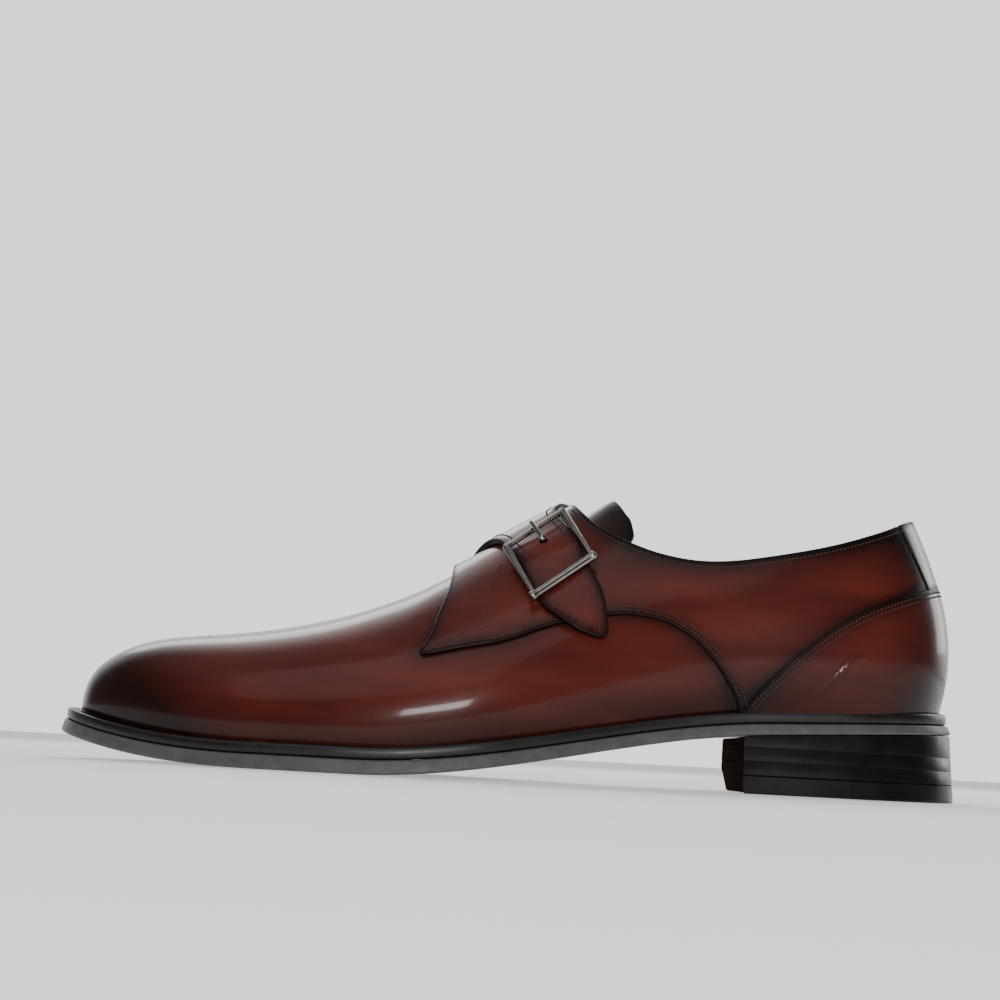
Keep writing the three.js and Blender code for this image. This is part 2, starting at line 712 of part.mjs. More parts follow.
function heelPieces() {
  const body = heelBody();
  const levels = [TOP_PIECE, TOP_PIECE + LIFT, TOP_PIECE + 2 * LIFT];
  const seat = Math.atan(SEAT_SLOPE);
  const wedgeTop = underside(SEAT_FRONT) - FIT;
  const under = (solid) => solid.trimByPlane([Math.sin(seat), 0, -Math.cos(seat)],
    Math.sin(seat) * SEAT_FRONT - Math.cos(seat) * wedgeTop);
  const seam = [-1, TOP_SEAM_SLANT, 0];
  const seamAt = -(BREAST + TOP_SEAM * HEEL_LENGTH);
  const top = body.intersect(slab(0, TOP_PIECE));
  const front = top.trimByPlane(seam, seamAt / Math.hypot(...seam));
  const rear = top.trimByPlane(seam.map((v) => -v), (-seamAt + FIT) / Math.hypot(...seam));
  return {
    front,
    rear,
    lifts: [
      body.intersect(slab(levels[0], levels[1])),
      body.intersect(slab(levels[1], levels[2])),
      under(body.intersect(slab(levels[2], 2 * SEAT_HEIGHT))),
    ],
  };
}

const LEATHER = { color: '#5a1f18', roughness: 0.35, metalness: 0 };
const DARK_LEATHER = { color: '#2a1513', roughness: 0.4, metalness: 0 };
const EDGE = { color: '#5c5650', roughness: 0.6, metalness: 0 };
const STACK = { color: '#1d1715', roughness: 0.45, metalness: 0 };
const CREAM = { color: '#cfc7bd', roughness: 0.6, metalness: 0 };
const RUBBER = { color: '#b5aca0', roughness: 0.75, metalness: 0 };
const TAN = { color: '#a8764a', roughness: 0.7, metalness: 0 };
const STEEL = { color: '#c9c7c2', roughness: 0.2, metalness: 1 };

const group = new THREE.Group();
function add(name, solid, look) {
  const mesh = solid.getMesh();
  const geometry = new THREE.BufferGeometry();
  geometry.setAttribute('position', new THREE.BufferAttribute(new Float32Array(mesh.vertProperties), 3));
  geometry.setIndex([...mesh.triVerts]);
  geometry.computeVertexNormals();
  const piece = new THREE.Mesh(geometry, new THREE.MeshStandardMaterial(look));
  piece.name = name;
  group.add(piece);
}

const cutter = collarCutter();
const inner = form(FIT, 0);
const below = belowWelt();
const skin = overlayForm(FIT + OVERLAY).subtract(inner).subtract(below);
const buckle = buckleParts();
const heel = heelPieces();

add('outsole', makeOutsole(), EDGE);
add('welt', makeWelt(), DARK_LEATHER);
add('insole', makeInsole(), TAN);
add('heel_top_piece_front', heel.front, CREAM);
add('heel_top_piece_rear', heel.rear, RUBBER);
heel.lifts.forEach((lift, i) => add(`heel_lift_${i + 1}`, lift, STACK));
add('upper', makeUpper(cutter), LEATHER);
add('quarter_lateral', makeQuarter(skin, cutter, -1), LEATHER);
add('quarter_medial_strap', makeQuarter(skin, cutter, 1).add(makeStrap()).subtract(prongHole()), LEATHER);
add('counter', makeCounter(inner, below), LEATHER);
add('back_strip', makeBackStrip(inner, cutter), LEATHER);
add('tongue', makeTongue(), LEATHER);
add('buckle_frame', buckle.frame, STEEL);
add('buckle_prong', makeProng(buckle), STEEL);

const bounds = new THREE.Box3().setFromObject(group);
const shift = new THREE.Vector3(-(bounds.min.x + bounds.max.x) / 2, -(bounds.min.y + bounds.max.y) / 2, -bounds.min.z);
group.children.forEach((piece) => piece.geometry.translate(shift.x, shift.y, shift.z));

export default group;
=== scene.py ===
# Looks of a monk strap shoe, left foot. Metres, Z up, toe at -X, lateral side at -Y.
import bmesh
import bpy
import math
import numpy as np
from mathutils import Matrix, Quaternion, Vector
from mathutils.geometry import delaunay_2d_cdt


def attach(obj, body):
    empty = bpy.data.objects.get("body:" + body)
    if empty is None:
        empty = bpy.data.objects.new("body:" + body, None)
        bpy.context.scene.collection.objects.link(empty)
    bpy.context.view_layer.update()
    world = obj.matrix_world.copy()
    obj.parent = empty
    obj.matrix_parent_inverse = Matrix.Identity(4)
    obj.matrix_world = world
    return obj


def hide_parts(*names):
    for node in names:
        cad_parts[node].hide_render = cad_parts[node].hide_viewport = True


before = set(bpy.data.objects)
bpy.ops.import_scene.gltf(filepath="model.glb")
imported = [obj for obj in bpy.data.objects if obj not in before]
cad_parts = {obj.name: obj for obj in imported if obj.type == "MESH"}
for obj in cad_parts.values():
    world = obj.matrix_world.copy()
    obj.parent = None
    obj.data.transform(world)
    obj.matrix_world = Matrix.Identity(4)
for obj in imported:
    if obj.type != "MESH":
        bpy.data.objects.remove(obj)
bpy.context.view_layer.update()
MM = 0.001

# Sizes of the shoe in millimetres, as in the part
LENGTH = 305.0
BALL_WIDTH = 95.0
INSTEP_RISE = 80.0
SOLE_FORE, SOLE_REAR, WELT, WELT_INSET = 4.7, 2.8, 3.6, 0.7
TOE_SPRING, SEAT_HEIGHT, SEAT_SLOPE = 9.0, 19.2, 0.055
HEEL_LENGTH, HEEL_FLARE, TOP_PIECE, LIFT = 76.0, 1.8, 6.0, 4.5
EDGE_FLARE = 1.6
BREAST_CURVE, NOTCH_DEPTH, NOTCH_WIDTH, NOTCH_HEIGHT = 3.0, 15.0, 11.0, 11.0
TOP_SEAM, TOP_SEAM_SLANT = 0.52, 0.15
WALL, OVERLAY, COUNTER_LEATHER, RIDGE_STAND = 1.9, 1.2, 1.6, 1.5
TONGUE_LEATHER, STRAP_LEATHER, TONGUE_FIT = 2.0, 2.0, 0.9
COLLAR_TILT = 0.05
BUCKLE_WIDTH, BUCKLE_BAR, PRONG = 26.0, 2.6, 1.6
FIT = 0.3
SHIFT = np.array([0.844, 0.443, 0.0])

# x, foot L/M, belly L/M, up, crown L/M, rise
LAST = np.array([
    [-0.4836, 0.000, 0.000, 0.000, 0.000, 0.55, 0.000, 0.000, 0.000],
    [-0.4754, 0.100, 0.111, 0.016, 0.016, 0.60, 0.063, 0.068, 0.150],
    [-0.4541, 0.179, 0.200, 0.026, 0.026, 0.60, 0.121, 0.132, 0.256],
    [-0.4164, 0.263, 0.289, 0.037, 0.032, 0.60, 0.179, 0.200, 0.354],
    [-0.3541, 0.353, 0.379, 0.042, 0.037, 0.60, 0.232, 0.263, 0.425],
    [-0.2557, 0.447, 0.463, 0.047, 0.037, 0.58, 0.263, 0.305, 0.492],
    [-0.1574, 0.500, 0.500, 0.053, 0.032, 0.55, 0.263, 0.316, 0.599],
    [-0.0590, 0.500, 0.453, 0.074, 0.032, 0.50, 0.211, 0.263, 0.761],
    [0.0262, 0.447, 0.363, 0.095, 0.063, 0.46, 0.158, 0.189, 0.900],
    [0.0984, 0.384, 0.300, 0.116, 0.105, 0.42, 0.137, 0.147, 1.000],
    [0.1967, 0.314, 0.261, 0.137, 0.137, 0.36, 0.158, 0.158, 1.087],
    [0.3115, 0.293, 0.277, 0.137, 0.137, 0.34, 0.168, 0.168, 1.100],
    [0.4098, 0.261, 0.261, 0.116, 0.116, 0.34, 0.137, 0.137, 1.075],
    [0.4610, 0.137, 0.137, 0.053, 0.053, 0.34, 0.074, 0.074, 1.062],
    [0.4770, 0.000, 0.000, 0.000, 0.000, 0.34, 0.000, 0.000, 1.062],
])
HEEL_CURVE = np.array([-0.0016, 0.0070, 0.0085, 0.0030, -0.0090, -0.0240, -0.0430, -0.0640])
# x share of LENGTH, margin of the sole lateral and medial
SOLE_MARGIN = np.array([
    [-0.500, 5.2, 5.2], [-0.350, 6.0, 5.4], [-0.180, 5.6, 5.0], [-0.020, 4.6, 4.0], [0.120, 2.9, 2.6],
    [0.250, 2.8, 2.6], [0.400, 2.8, 2.8], [0.480, 4.6, 4.6], [0.500, 4.8, 4.8],
])
# Side outlines: x share of LENGTH, height share of INSTEP_RISE over the feather edge
QUARTER_EDGE = np.array([
    [-0.0557, 0.990], [-0.0639, 0.794], [-0.0682, 0.710], [-0.0715, 0.626], [-0.0793, 0.532],
    [-0.0885, 0.418], [-0.0951, 0.363], [-0.0593, 0.378], [-0.0190, 0.390], [0.0111, 0.412],
    [0.0479, 0.439], [0.0987, 0.447], [0.1246, 0.437], [0.1492, 0.411], [0.1698, 0.374],
    [0.1915, 0.315], [0.2066, 0.257], [0.2203, 0.191], [0.2318, 0.121], [0.2430, 0.042],
    [0.2475, -0.037],
])
COUNTER_EDGE = np.array([
    [0.2495, -0.037], [0.2545, 0.029], [0.2846, 0.146], [0.3193, 0.258], [0.3564, 0.357],
    [0.3938, 0.425], [0.4328, 0.478], [0.4787, 0.530], [0.5246, 0.545],
])
COLLAR_EDGE = np.array([
    [0.0623, 0.965], [0.0816, 0.871], [0.1000, 0.812], [0.1187, 0.763], [0.1433, 0.711],
    [0.1636, 0.678], [0.1957, 0.643], [0.2344, 0.631], [0.2731, 0.644], [0.3279, 0.680],
    [0.3738, 0.724], [0.4098, 0.770], [0.4361, 0.811], [0.4918, 0.872],
])
STRIP_EDGE = np.array([[0.4000, 1.000], [0.4215, 0.790], [0.4500, 0.540], [0.4600, 0.440]])
# around, front and rear as shares of LENGTH, room under the strap
STRAP = np.array([
    [0.300, -0.0660, 0.0790, 0.6], [0.200, -0.0600, 0.0740, 0.9], [0.100, -0.0480, 0.0660, 2.2],
    [0.030, -0.0350, 0.0570, 3.4], [-0.050, -0.0240, 0.0500, 3.4], [-0.120, -0.0178, 0.0450, 3.4],
    [-0.200, -0.0098, 0.0470, 3.2], [-0.270, -0.0050, 0.0530, 3.2], [-0.340, 0.0025, 0.0600, 4.2],
    [-0.410, 0.0085, 0.0670, 4.7], [-0.470, 0.0145, 0.0730, 3.5], [-0.530, 0.0210, 0.0815, 2.0],
    [-0.590, 0.0300, 0.0900, 1.9], [-0.640, 0.0446, 0.0940, 1.9], [-0.680, 0.0590, 0.0958, 1.9],
    [-0.710, 0.0720, 0.0968, 1.9], [-0.735, 0.0890, 0.0966, 1.9],
])
# x share, half width around, lift, lean of the rear edge
TONGUE = np.array([
    [-0.0700, 0.34, 0.0, 0.0], [-0.0300, 0.40, 0.0, 0.0], [0.0200, 0.44, 0.0, 0.0], [0.0560, 0.44, 0.0, 0.002],
    [0.0720, 0.44, 0.2, 0.006], [0.0860, 0.44, 0.8, 0.013], [0.0960, 0.42, 1.3, 0.018],
    [0.1020, 0.38, 1.2, 0.020], [0.1045, 0.34, 0.7, 0.021],
])
BUCKLE_FAR, BUCKLE_MID, BUCKLE_NEAR, PRONG_HOLE = -0.275, -0.400, -0.530, -0.352
BUCKLE_AXIS = np.array([0.76, 0.27, 0.59])
BUCKLE_AXIS = BUCKLE_AXIS / np.linalg.norm(BUCKLE_AXIS)
# Number of spans of the last, row from which the heel curve grows in
NS, BACK_ROW = len(LAST) - 1, 9.5


def smooth(v):
    v = np.clip(v, 0, 1)
    return v * v * (3 - 2 * v)


def halve(rising, lo, hi, steps=40):
    """The value between lo and hi where rising(value) turns false."""
    for _ in range(steps):
        mid = (lo + hi) / 2
        up = rising(mid)
        lo, hi = np.where(up, mid, lo), np.where(up, hi, mid)
    return (lo + hi) / 2


def run_of(p):
    """Length along a line up to each of its points."""
    return np.concatenate([[0], np.cumsum(np.linalg.norm(np.diff(p, axis=0), axis=1))])


def on_line(t, s, p):
    return np.stack([np.interp(t, s, p[:, c]) for c in range(p.shape[1])], -1)


def pair(a, b):
    return np.stack([a, b], -1)


def bends(y, clamped):
    """Second derivatives of the cubic spline through y, with level or free ends."""
    n = len(y)
    a = np.zeros((n, n))
    b = np.zeros(n)
    for i in range(1, n - 1):
        a[i, i - 1:i + 2] = [1, 4, 1]
        b[i] = 6 * (y[i - 1] - 2 * y[i] + y[i + 1])
    if clamped:
        a[0, :2] = [2, 1]
        a[-1, -2:] = [1, 2]
        b[0] = 6 * (y[1] - y[0])
        b[-1] = -6 * (y[-1] - y[-2])
    else:
        a[0, 0] = a[-1, -1] = 1
    return np.linalg.solve(a, b)


def along(values, bend, at):
    n = len(values)
    i = np.clip(np.floor(at).astype(int), 0, n - 2)
    t = at - i
    s = 1 - t
    return (s * values[i] + t * values[i + 1]
            + ((s ** 3 - s) * bend[i] + (t ** 3 - t) * bend[i + 1]) / 6)


LAST_BENDS = [bends(LAST[:, c], c == 0) for c in range(LAST.shape[1])]
HEEL_BEND = bends(HEEL_CURVE, False)


def col(c, k):
    return along(LAST[:, c], LAST_BENDS[c], k)


BALL_FRONT, BALL_BACK, SEAT_FRONT = -0.27 * LENGTH, -0.157 * LENGTH, 0.279 * LENGTH


def underside(x):
    """Height of the sole's underside: toe spring, arch and sloping heel seat."""
    toe = np.clip((BALL_FRONT - x) / (BALL_FRONT + LENGTH / 2), 0, 2)
    u = np.clip((x - BALL_BACK) / (SEAT_FRONT - BALL_BACK), 0, 1)
    arch = SEAT_HEIGHT * smooth(u) + SEAT_SLOPE * (SEAT_FRONT - BALL_BACK) * (u ** 3 - u ** 2)
    return TOE_SPRING * toe ** 2.2 + arch + SEAT_SLOPE * np.maximum(0, x - SEAT_FRONT)


def sole_thick(x):
    return SOLE_FORE + (SOLE_REAR - SOLE_FORE) * smooth(x / LENGTH + 0.2)


def welt_under(x):
    return underside(x) + sole_thick(x) + FIT


def welt_top(x):
    return welt_under(x) + WELT


def feather(x):
    return welt_top(x) + FIT


def last(k, v):
    """A point of the last: k along the rows, v from -1 lateral over 0 ridge to 1 medial."""
    k, v = np.broadcast_arrays(np.asarray(k, float), np.asarray(v, float))
    lat = v < 0
    r = np.abs(v)
    s = 1 - r
    foot = np.where(lat, col(1, k), col(2, k)) * BALL_WIDTH
    belly = np.where(lat, col(3, k), col(4, k)) * BALL_WIDTH
    crown = np.where(lat, col(6, k), col(7, k)) * BALL_WIDTH
    up = col(5, k)
    rise = col(8, k) * INSTEP_RISE
    y = r ** 3 * foot + 3 * r * r * s * (foot + belly) + 3 * r * s * s * crown
    z = 3 * r * r * s * up * rise + 3 * r * s * s * rise + s ** 3 * rise
    back = smooth((k - BACK_ROW) / (NS - BACK_ROW))
    lean = along(HEEL_CURVE, HEEL_BEND, np.clip(z / INSTEP_RISE / 0.15, 0, 7)) * LENGTH
    x0 = col(0, k) * LENGTH
    return np.stack([x0 + lean * back, np.where(lat, -y, y), feather(x0) + z], -1)


def unit(a):
    return a / (np.linalg.norm(a, axis=-1, keepdims=True) + 1e-12)


def last_normal(k, v):
    e = 1e-3
    k, v = np.broadcast_arrays(np.asarray(k, float), np.asarray(v, float))
    kk = np.clip(k, 0.02, NS - e)
    vv = np.clip(v, -1 + e, 1 - e)
    n = unit(-np.cross(last(kk, vv + e) - last(kk, vv - e), last(kk + e, vv) - last(kk - e, vv)))
    n = np.where((k < 0.02)[..., None], unit(n * [1, 0.2, 1]), n)
    n = np.where((k > NS - 0.02)[..., None], n * [1, 0, 1], n)
    return unit(n)


def off(k, v, d):
    return last(k, v) + last_normal(k, v) * np.asarray(d)[..., None] + SHIFT


def row_at(x):
    """Row of the last whose foot lies at x."""
    x = np.asarray(x, float)
    return halve(lambda k: col(0, k) * LENGTH < x, np.zeros_like(x), np.full_like(x, NS))


# Chart of the last: U grows with length along the shoe, W with girth, both near millimetres
KT = np.linspace(0, NS, 1401)
_p = np.stack([last(KT, v) for v in (-0.8, -0.5, -0.25, 0.25, 0.5, 0.8)])
UT = np.concatenate([[0], np.cumsum(np.linalg.norm(np.diff(_p, axis=1), axis=-1).mean(0) + 1e-4)])
GIRTH = 75.0


def side_to_kv(x, z, sign):
    """Rows and around values of points seen from the side."""
    ends = LAST[0, 0] * LENGTH, LAST[-1, 0] * LENGTH
    k = row_at(np.clip(x, *ends))
    for _ in range(25):
        v = halve(lambda mid: last(k, sign * mid)[..., 2] > z, np.zeros_like(k), np.ones_like(k), 26)
        x_now = last(k, sign * v)[..., 0]
        k = np.clip(row_at(np.clip(col(0, k) * LENGTH + (x - x_now), *ends)), 0, NS)
        if np.max(np.abs(x - x_now)) < 1e-3:
            break
    return k, sign * v


def curve_through(points, step):
    """Smooth dense curve through points of a table, ends free."""
    p = np.asarray(points, float)
    t = np.linspace(0, len(p) - 1, 60 * len(p))
    return resample(np.stack([along(c, bends(c, False), t) for c in p.T], -1), step)


def resample(q, step, closed=False):
    """Points at even steps along a line."""
    if closed:
        q = np.concatenate([q, q[:1]])
    s = run_of(q)
    n = max(2, int(round(s[-1] / step)) + 1)
    out = on_line(np.linspace(0, s[-1], n), s, q)
    return out[:-1] if closed else out


def side_line(table, step=0.7):
    x = table[:, 0] * LENGTH
    return curve_through(pair(x, feather(x) + table[:, 1] * INSTEP_RISE), step)


def kv_line(table, sign):
    p = side_line(table)
    return pair(*side_to_kv(*p.T, sign))


def chart(kv):
    return pair(np.interp(kv[:, 0], KT, UT), kv[:, 1] * GIRTH)


def unchart(uw):
    return pair(np.interp(uw[:, 0], UT, KT), uw[:, 1] / GIRTH)


def step_kv(kv, move):
    """Move chart points by 3D vectors kept on the last."""
    kv = kv.copy()
    goal = last(*kv.T) + move
    for _ in range(4):
        e = 1e-3
        k = np.clip(kv[:, 0], e, NS - e)
        v = np.clip(kv[:, 1], -1 + e, 1 - e)
        a = (last(k + e, v) - last(k - e, v)) / (2 * e)
        b = (last(k, v + e) - last(k, v - e)) / (2 * e)
        r = goal - last(*kv.T)
        aa, bb, ab = (a * a).sum(-1), (b * b).sum(-1), (a * b).sum(-1)
        ra, rb = (r * a).sum(-1), (r * b).sum(-1)
        det = aa * bb - ab * ab + 1e-6
        kv[:, 0] = np.clip(kv[:, 0] + (ra * bb - rb * ab) / det, 0, NS)
        kv[:, 1] = np.clip(kv[:, 1] + (rb * aa - ra * ab) / det, -1, 1)
    return kv


def inset(kv, distance):
    """A line moved sideways over the last; positive goes to the left of its run seen from outside."""
    t = np.gradient(last(*kv.T), axis=0)
    return step_kv(kv, unit(np.cross(last_normal(*kv.T), unit(t))) * distance)


# Meshes
def new_object(name, verts_mm, faces, material=None, normals=None):
    mesh = bpy.data.meshes.new(name)
    mesh.from_pydata((np.asarray(verts_mm) * MM).tolist(), [], [list(map(int, f)) for f in faces])
    mesh.polygons.foreach_set("use_smooth", [True] * len(mesh.polygons))
    mesh.update()
    if normals is not None:
        mesh.normals_split_custom_set_from_vertices(normals.tolist())
    ob = bpy.data.objects.new(name, mesh)
    bpy.context.scene.collection.objects.link(ob)
    if material is not None:
        mesh.materials.append(material)
    return ob


def paint(ob, name, values):
    layer = ob.data.attributes.new(name, "FLOAT", "POINT")
    layer.data.foreach_set("value", np.asarray(values, dtype=np.float32))


def inside(poly, pts):
    """Which points lie in a closed plan or chart loop."""
    x, y = pts[:, 0], pts[:, 1]
    hit = np.zeros(len(pts), bool)
    for (x0, y0), (x1, y1) in zip(poly, np.roll(poly, -1, 0)):
        if y0 == y1:
            continue
        cross = (y0 > y) != (y1 > y)
        hit ^= cross & (x < (x1 - x0) * (y - y0) / (y1 - y0) + x0)
    return hit


def near(points, line):
    """Distance of each point to the nearest point of a dense line."""
    best = np.full(len(points), 1e9)
    for i in range(0, len(line), 64):
        d = np.linalg.norm(points[:, None] - line[None, i:i + 64], axis=-1).min(1)
        best = np.minimum(best, d)
    return best


def triangles(points, edges):
    out = delaunay_2d_cdt([Vector(p) for p in points], edges, [], 1, 1e-5)
    return np.array([tuple(v) for v in out[0]]), [list(f) for f in out[2]]


def fill_chart(loop, step):
    """Triangles inside a closed loop of the chart."""
    loop = np.asarray(loop, float)
    keep = [0]
    for i in range(1, len(loop)):
        if np.linalg.norm(loop[i] - loop[keep[-1]]) > 0.05:
            keep.append(i)
    if np.linalg.norm(loop[keep[-1]] - loop[keep[0]]) < 0.05:
        keep.pop()
    loop = loop[keep]
    lo, hi = loop.min(0), loop.max(0)
    xs = np.arange(lo[0], hi[0], step)
    ys = np.arange(lo[1], hi[1], step * 0.866)
    grid = np.stack(np.meshgrid(xs, ys, indexing="ij"), -1)
    grid[:, 1::2, 0] += step / 2
    pts = grid.reshape(-1, 2)
    pts = pts[inside(loop, pts)]
    pts = pts[near(pts, loop) > step * 0.55]
    n = len(loop)
    return *triangles(np.concatenate([loop, pts]), [(i, (i + 1) % n) for i in range(n)]), loop


def displaced(kv, height):
    """Points and normals of the last grown by height(k, v)."""
    k, v = kv[:, 0], kv[:, 1]
    e = 0.004

    def at(kk, vv):
        return off(kk, vv, height(kk, vv))
    kk = np.clip(k, 0.03, NS - e)
    vv = np.clip(v, -1 + e, 1 - e)
    n = unit(-np.cross(at(kk, vv + e) - at(kk, vv - e), at(kk + e, vv) - at(kk - e, vv)))
    n = np.where((k > NS - 2 * e)[:, None], n * [1, 0, 1], n)
    return at(k, v), unit(n)


# Gap to the welt, around value where the leather stands on it, steps of a rounded edge
WELT_GAP, FOOT_V, RIM_SIDES = 0.26, 0.998, 6


def leather_panel(name, loop_kv, height, low, material, step=1.5, rim=0.5, flesh=False):
    """A leather panel: filled top and rounded cut edge, with a flesh side where it is seen from below."""
    uv, faces, ring = fill_chart(resample(chart(loop_kv), 0.8, True), step)
    kv, edge_kv = unchart(uv), unchart(ring)
    top, normals = displaced(kv, height)
    edge, edge_n = displaced(edge_kv, height)
    top[np.abs(kv[:, 1]) > FOOT_V, 2] -= WELT_GAP
    edge[np.abs(edge_kv[:, 1]) > FOOT_V, 2] -= WELT_GAP
    m = len(ring)
    outward = unit(np.cross(unit(np.roll(edge, -1, 0) - np.roll(edge, 1, 0)), edge_n))
    free = ((edge_kv[:, 0] < NS - 0.03) & (np.abs(edge_kv[:, 1]) < 0.995)).astype(float)[:, None]
    dist = near(top, edge[free[:, 0] > 0])
    # Edge marks: the top darkens within 0.75 mm of the cut as painted shade that widens the dark line of the
    # edge; rim and wall are the inked cut edge.
    layers = [(top, normals, 0.95 * np.exp(-(dist / 0.75) ** 2))]
    drop = np.maximum(height(*edge_kv.T) - low(*edge_kv.T), 0.2)
    for i in range(RIM_SIDES + 1):
        a = math.pi / 2 * i / RIM_SIDES
        layers.append((edge + (outward * rim * math.sin(a) - edge_n * rim * (1 - math.cos(a))) * free,
                       unit(edge_n * math.cos(a) + outward * math.sin(a) * free),
                       free[:, 0] * min(1.0, 0.35 + i / RIM_SIDES)))
    layers.append((edge + (outward * rim * 0.9 - edge_n * np.maximum(drop, rim + 0.05)[:, None]) * free,
                   outward, np.ones(m)))
    if flesh:
        for points, mark in ((edge_kv, 1.0), (kv, 0.6)):
            inner, inner_n = displaced(points, low)
            layers.append((inner, -inner_n, np.full(len(inner), mark)))
    all_faces = list(faces)
    for s in range(len(top), len(top) + (RIM_SIDES + 1 + flesh) * m, m):
        for j in range(m):
            all_faces.append([s + j, s + m + j, s + m + (j + 1) % m, s + (j + 1) % m])
    if flesh:
        start = len(top) + (RIM_SIDES + 3) * m
        all_faces += [[start + i for i in f] for f in faces]
    verts, norms, marks = (np.concatenate(part) for part in zip(*layers))
    ob = new_object(name, verts, orient(verts, all_faces, norms), material, norms)
    paint(ob, "edge", marks)
    d = np.pad(dist, (0, len(verts) - len(dist)))
    paint(ob, "seam", np.exp(-(d / 3.2) ** 2) * 0.75 + np.exp(-(d / 9.0) ** 2) * 0.25)
    burn(ob, verts)
    return ob


def orient(verts, faces, normals):
    """Faces wound so that they look along the given normals."""
    f = np.array([face[:3] for face in faces])
    a, b, c = (verts[f[:, i]] for i in range(3))
    wrong = (np.cross(b - a, c - a) * normals[f].sum(1)).sum(-1) < 0
    return [face[::-1] if turn else face for face, turn in zip(faces, wrong)]


def burn(ob, verts):
    """Darkening over the shoe: burnished colour at the toe, heel and collar, darker along the instep ridge,
    and painted shade low along the welt.
    """
    x, y, z = verts[:, 0], verts[:, 1], verts[:, 2]
    lift = z - feather(x)
    toe = smooth((-78 - x) / 60)
    # Painted shade: darker low on the upper, fading over 12 mm above the feather edge.
    low = np.exp(-(np.maximum(lift, 0) / 12.0) ** 2)
    heel = smooth((x - 118) / 30)
    collar = smooth((lift - 38) / 22) * smooth((x - 15) / 25)
    ridge = np.exp(-(y / 16.0) ** 2) * smooth((x + 120) / 40) * smooth((40 - x) / 30) * 0.35
    amount = np.clip(0.95 * toe + 0.66 * low + 0.72 * heel + 0.62 * collar + ridge, 0, 1)
    paint(ob, "burn", amount)


# Materials
class Look:
    """Short calls for the nodes of a material or world. Values are sockets or constants."""

    def __init__(self, owner, shader="Principled BSDF"):
        owner.use_nodes = True
        self.owner, self.tree = owner, owner.node_tree
        self.inputs = self.tree.nodes[shader].inputs

    def put(self, socket, value):
        if hasattr(value, "links"):
            self.tree.links.new(value, socket)
        elif isinstance(value, tuple) and len(value) == 3 and len(socket.default_value) == 4:
            socket.default_value = (*value, 1)
        else:
            socket.default_value = value

    def set(self, **values):
        for key, value in values.items():
            self.put(self.inputs[key.replace("_", " ")], value)
        return self.owner

    def node(self, kind, sockets=(), **settings):
        n = self.tree.nodes.new("ShaderNode" + kind)
        for key, value in settings.items():
            setattr(n, key, value)
        for key, value in dict(sockets).items():
            self.put(n.inputs[key], value)
        return n

    def coords(self, scale=(1, 1, 1)):
        m = self.node("Mapping", {"Vector": self.node("TexCoord").outputs["Object"]})
        m.inputs["Scale"].default_value = scale
        return m.outputs["Vector"]

    def noise(self, vector, scale, detail=3.0, rough=0.5):
        return self.node("TexNoise", {"Vector": vector, "Scale": scale, "Detail": detail,
                                      "Roughness": rough}).outputs["Fac"]

    def ramp(self, value, first, second):
        """Blends two colours as value goes from 0.3 to 0.7."""
        r = self.node("ValToRGB", {"Fac": value})
        for stop, at, colour in zip(r.color_ramp.elements, (0.3, 0.7), (first, second)):
            stop.position, stop.color = at, (*colour, 1)
        return r.outputs["Color"]

    def mixed(self, fac, a, b):
        return self.node("Mix", {0: fac, 6: a, 7: b}, data_type="RGBA").outputs[2]

    def maths(self, op, *values, clamp=False):
        return self.node("Math", enumerate(values), operation=op, use_clamp=clamp).outputs[0]

    def attribute(self, name):
        return self.node("Attribute", attribute_name=name).outputs["Fac"]

    def bump(self, height, strength, distance, after=None):
        sockets = {"Height": height, "Strength": strength, "Distance": distance}
        if after is not None:
            sockets["Normal"] = after
        return self.node("Bump", sockets).outputs["Normal"]

    def cells(self, vector, scale):
        return self.node("TexVoronoi", {"Vector": vector, "Scale": scale},
                         feature="DISTANCE_TO_EDGE").outputs["Distance"]


def burnished_leather(name, mid, warm, gloss):
    """Leather coloured by hand: darkened with burnished colour and painted shade along the welt over the shoe,
    beside seams, and on inked cut edges with painted shade on the top beside them.
    """
    m = Look(bpy.data.materials.new(name))
    v = m.coords()
    stretched = m.coords((0.6, 1.2, 2.4))
    clouds = m.noise(stretched, 26.0, 2.0)
    streaks = m.noise(m.coords((0.5, 1.4, 3.0)), 170.0, 2.0)
    tone = m.maths("ADD", m.maths("MULTIPLY", clouds, 0.84), m.maths("MULTIPLY", streaks, 0.16))
    spread = m.node("MapRange", {0: tone, 1: 0.34, 2: 0.66}, interpolation_type="SMOOTHSTEP").outputs[0]
    edge = m.attribute("edge")
    # Darkening: burnished colour with painted shade along the welt, beside seams, and a random wobble.
    shade = m.maths("ADD", m.maths("MULTIPLY", m.attribute("burn"), 0.92),
                    m.maths("MULTIPLY", m.attribute("seam"), 0.62), clamp=True)
    wobble = m.maths("MULTIPLY", m.maths("SUBTRACT", m.noise(stretched, 38.0, 2.0), 0.45), 0.7)
    shade = m.maths("ADD", shade, m.maths("MULTIPLY", wobble, m.maths("SUBTRACT", 1.0, shade)), clamp=True)
    base = m.mixed(shade, m.mixed(spread, mid, warm), DARK)
    # Cut edges inked near black; the top strip beside them is painted shade.
    base = m.mixed(m.maths("MULTIPLY", edge, 0.94, clamp=True), base, tuple(0.5 * c for c in DARK))
    pores = m.bump(m.noise(v, 620.0, 1.0), 0.19, 0.00012)
    rough = m.maths("MULTIPLY_ADD", clouds, 0.08, gloss - 0.03)
    return m.set(Base_Color=base, Normal=m.bump(m.noise(v, 90.0, 2.0), 0.06, 0.0009, pores),
                 Roughness=m.maths("MULTIPLY_ADD", edge, 0.3, rough), Specular_IOR_Level=0.13,
                 Coat_Weight=m.maths("MULTIPLY_ADD", edge, -0.36, 0.4, clamp=True), Coat_Roughness=0.09,
                 Coat_IOR=1.4)


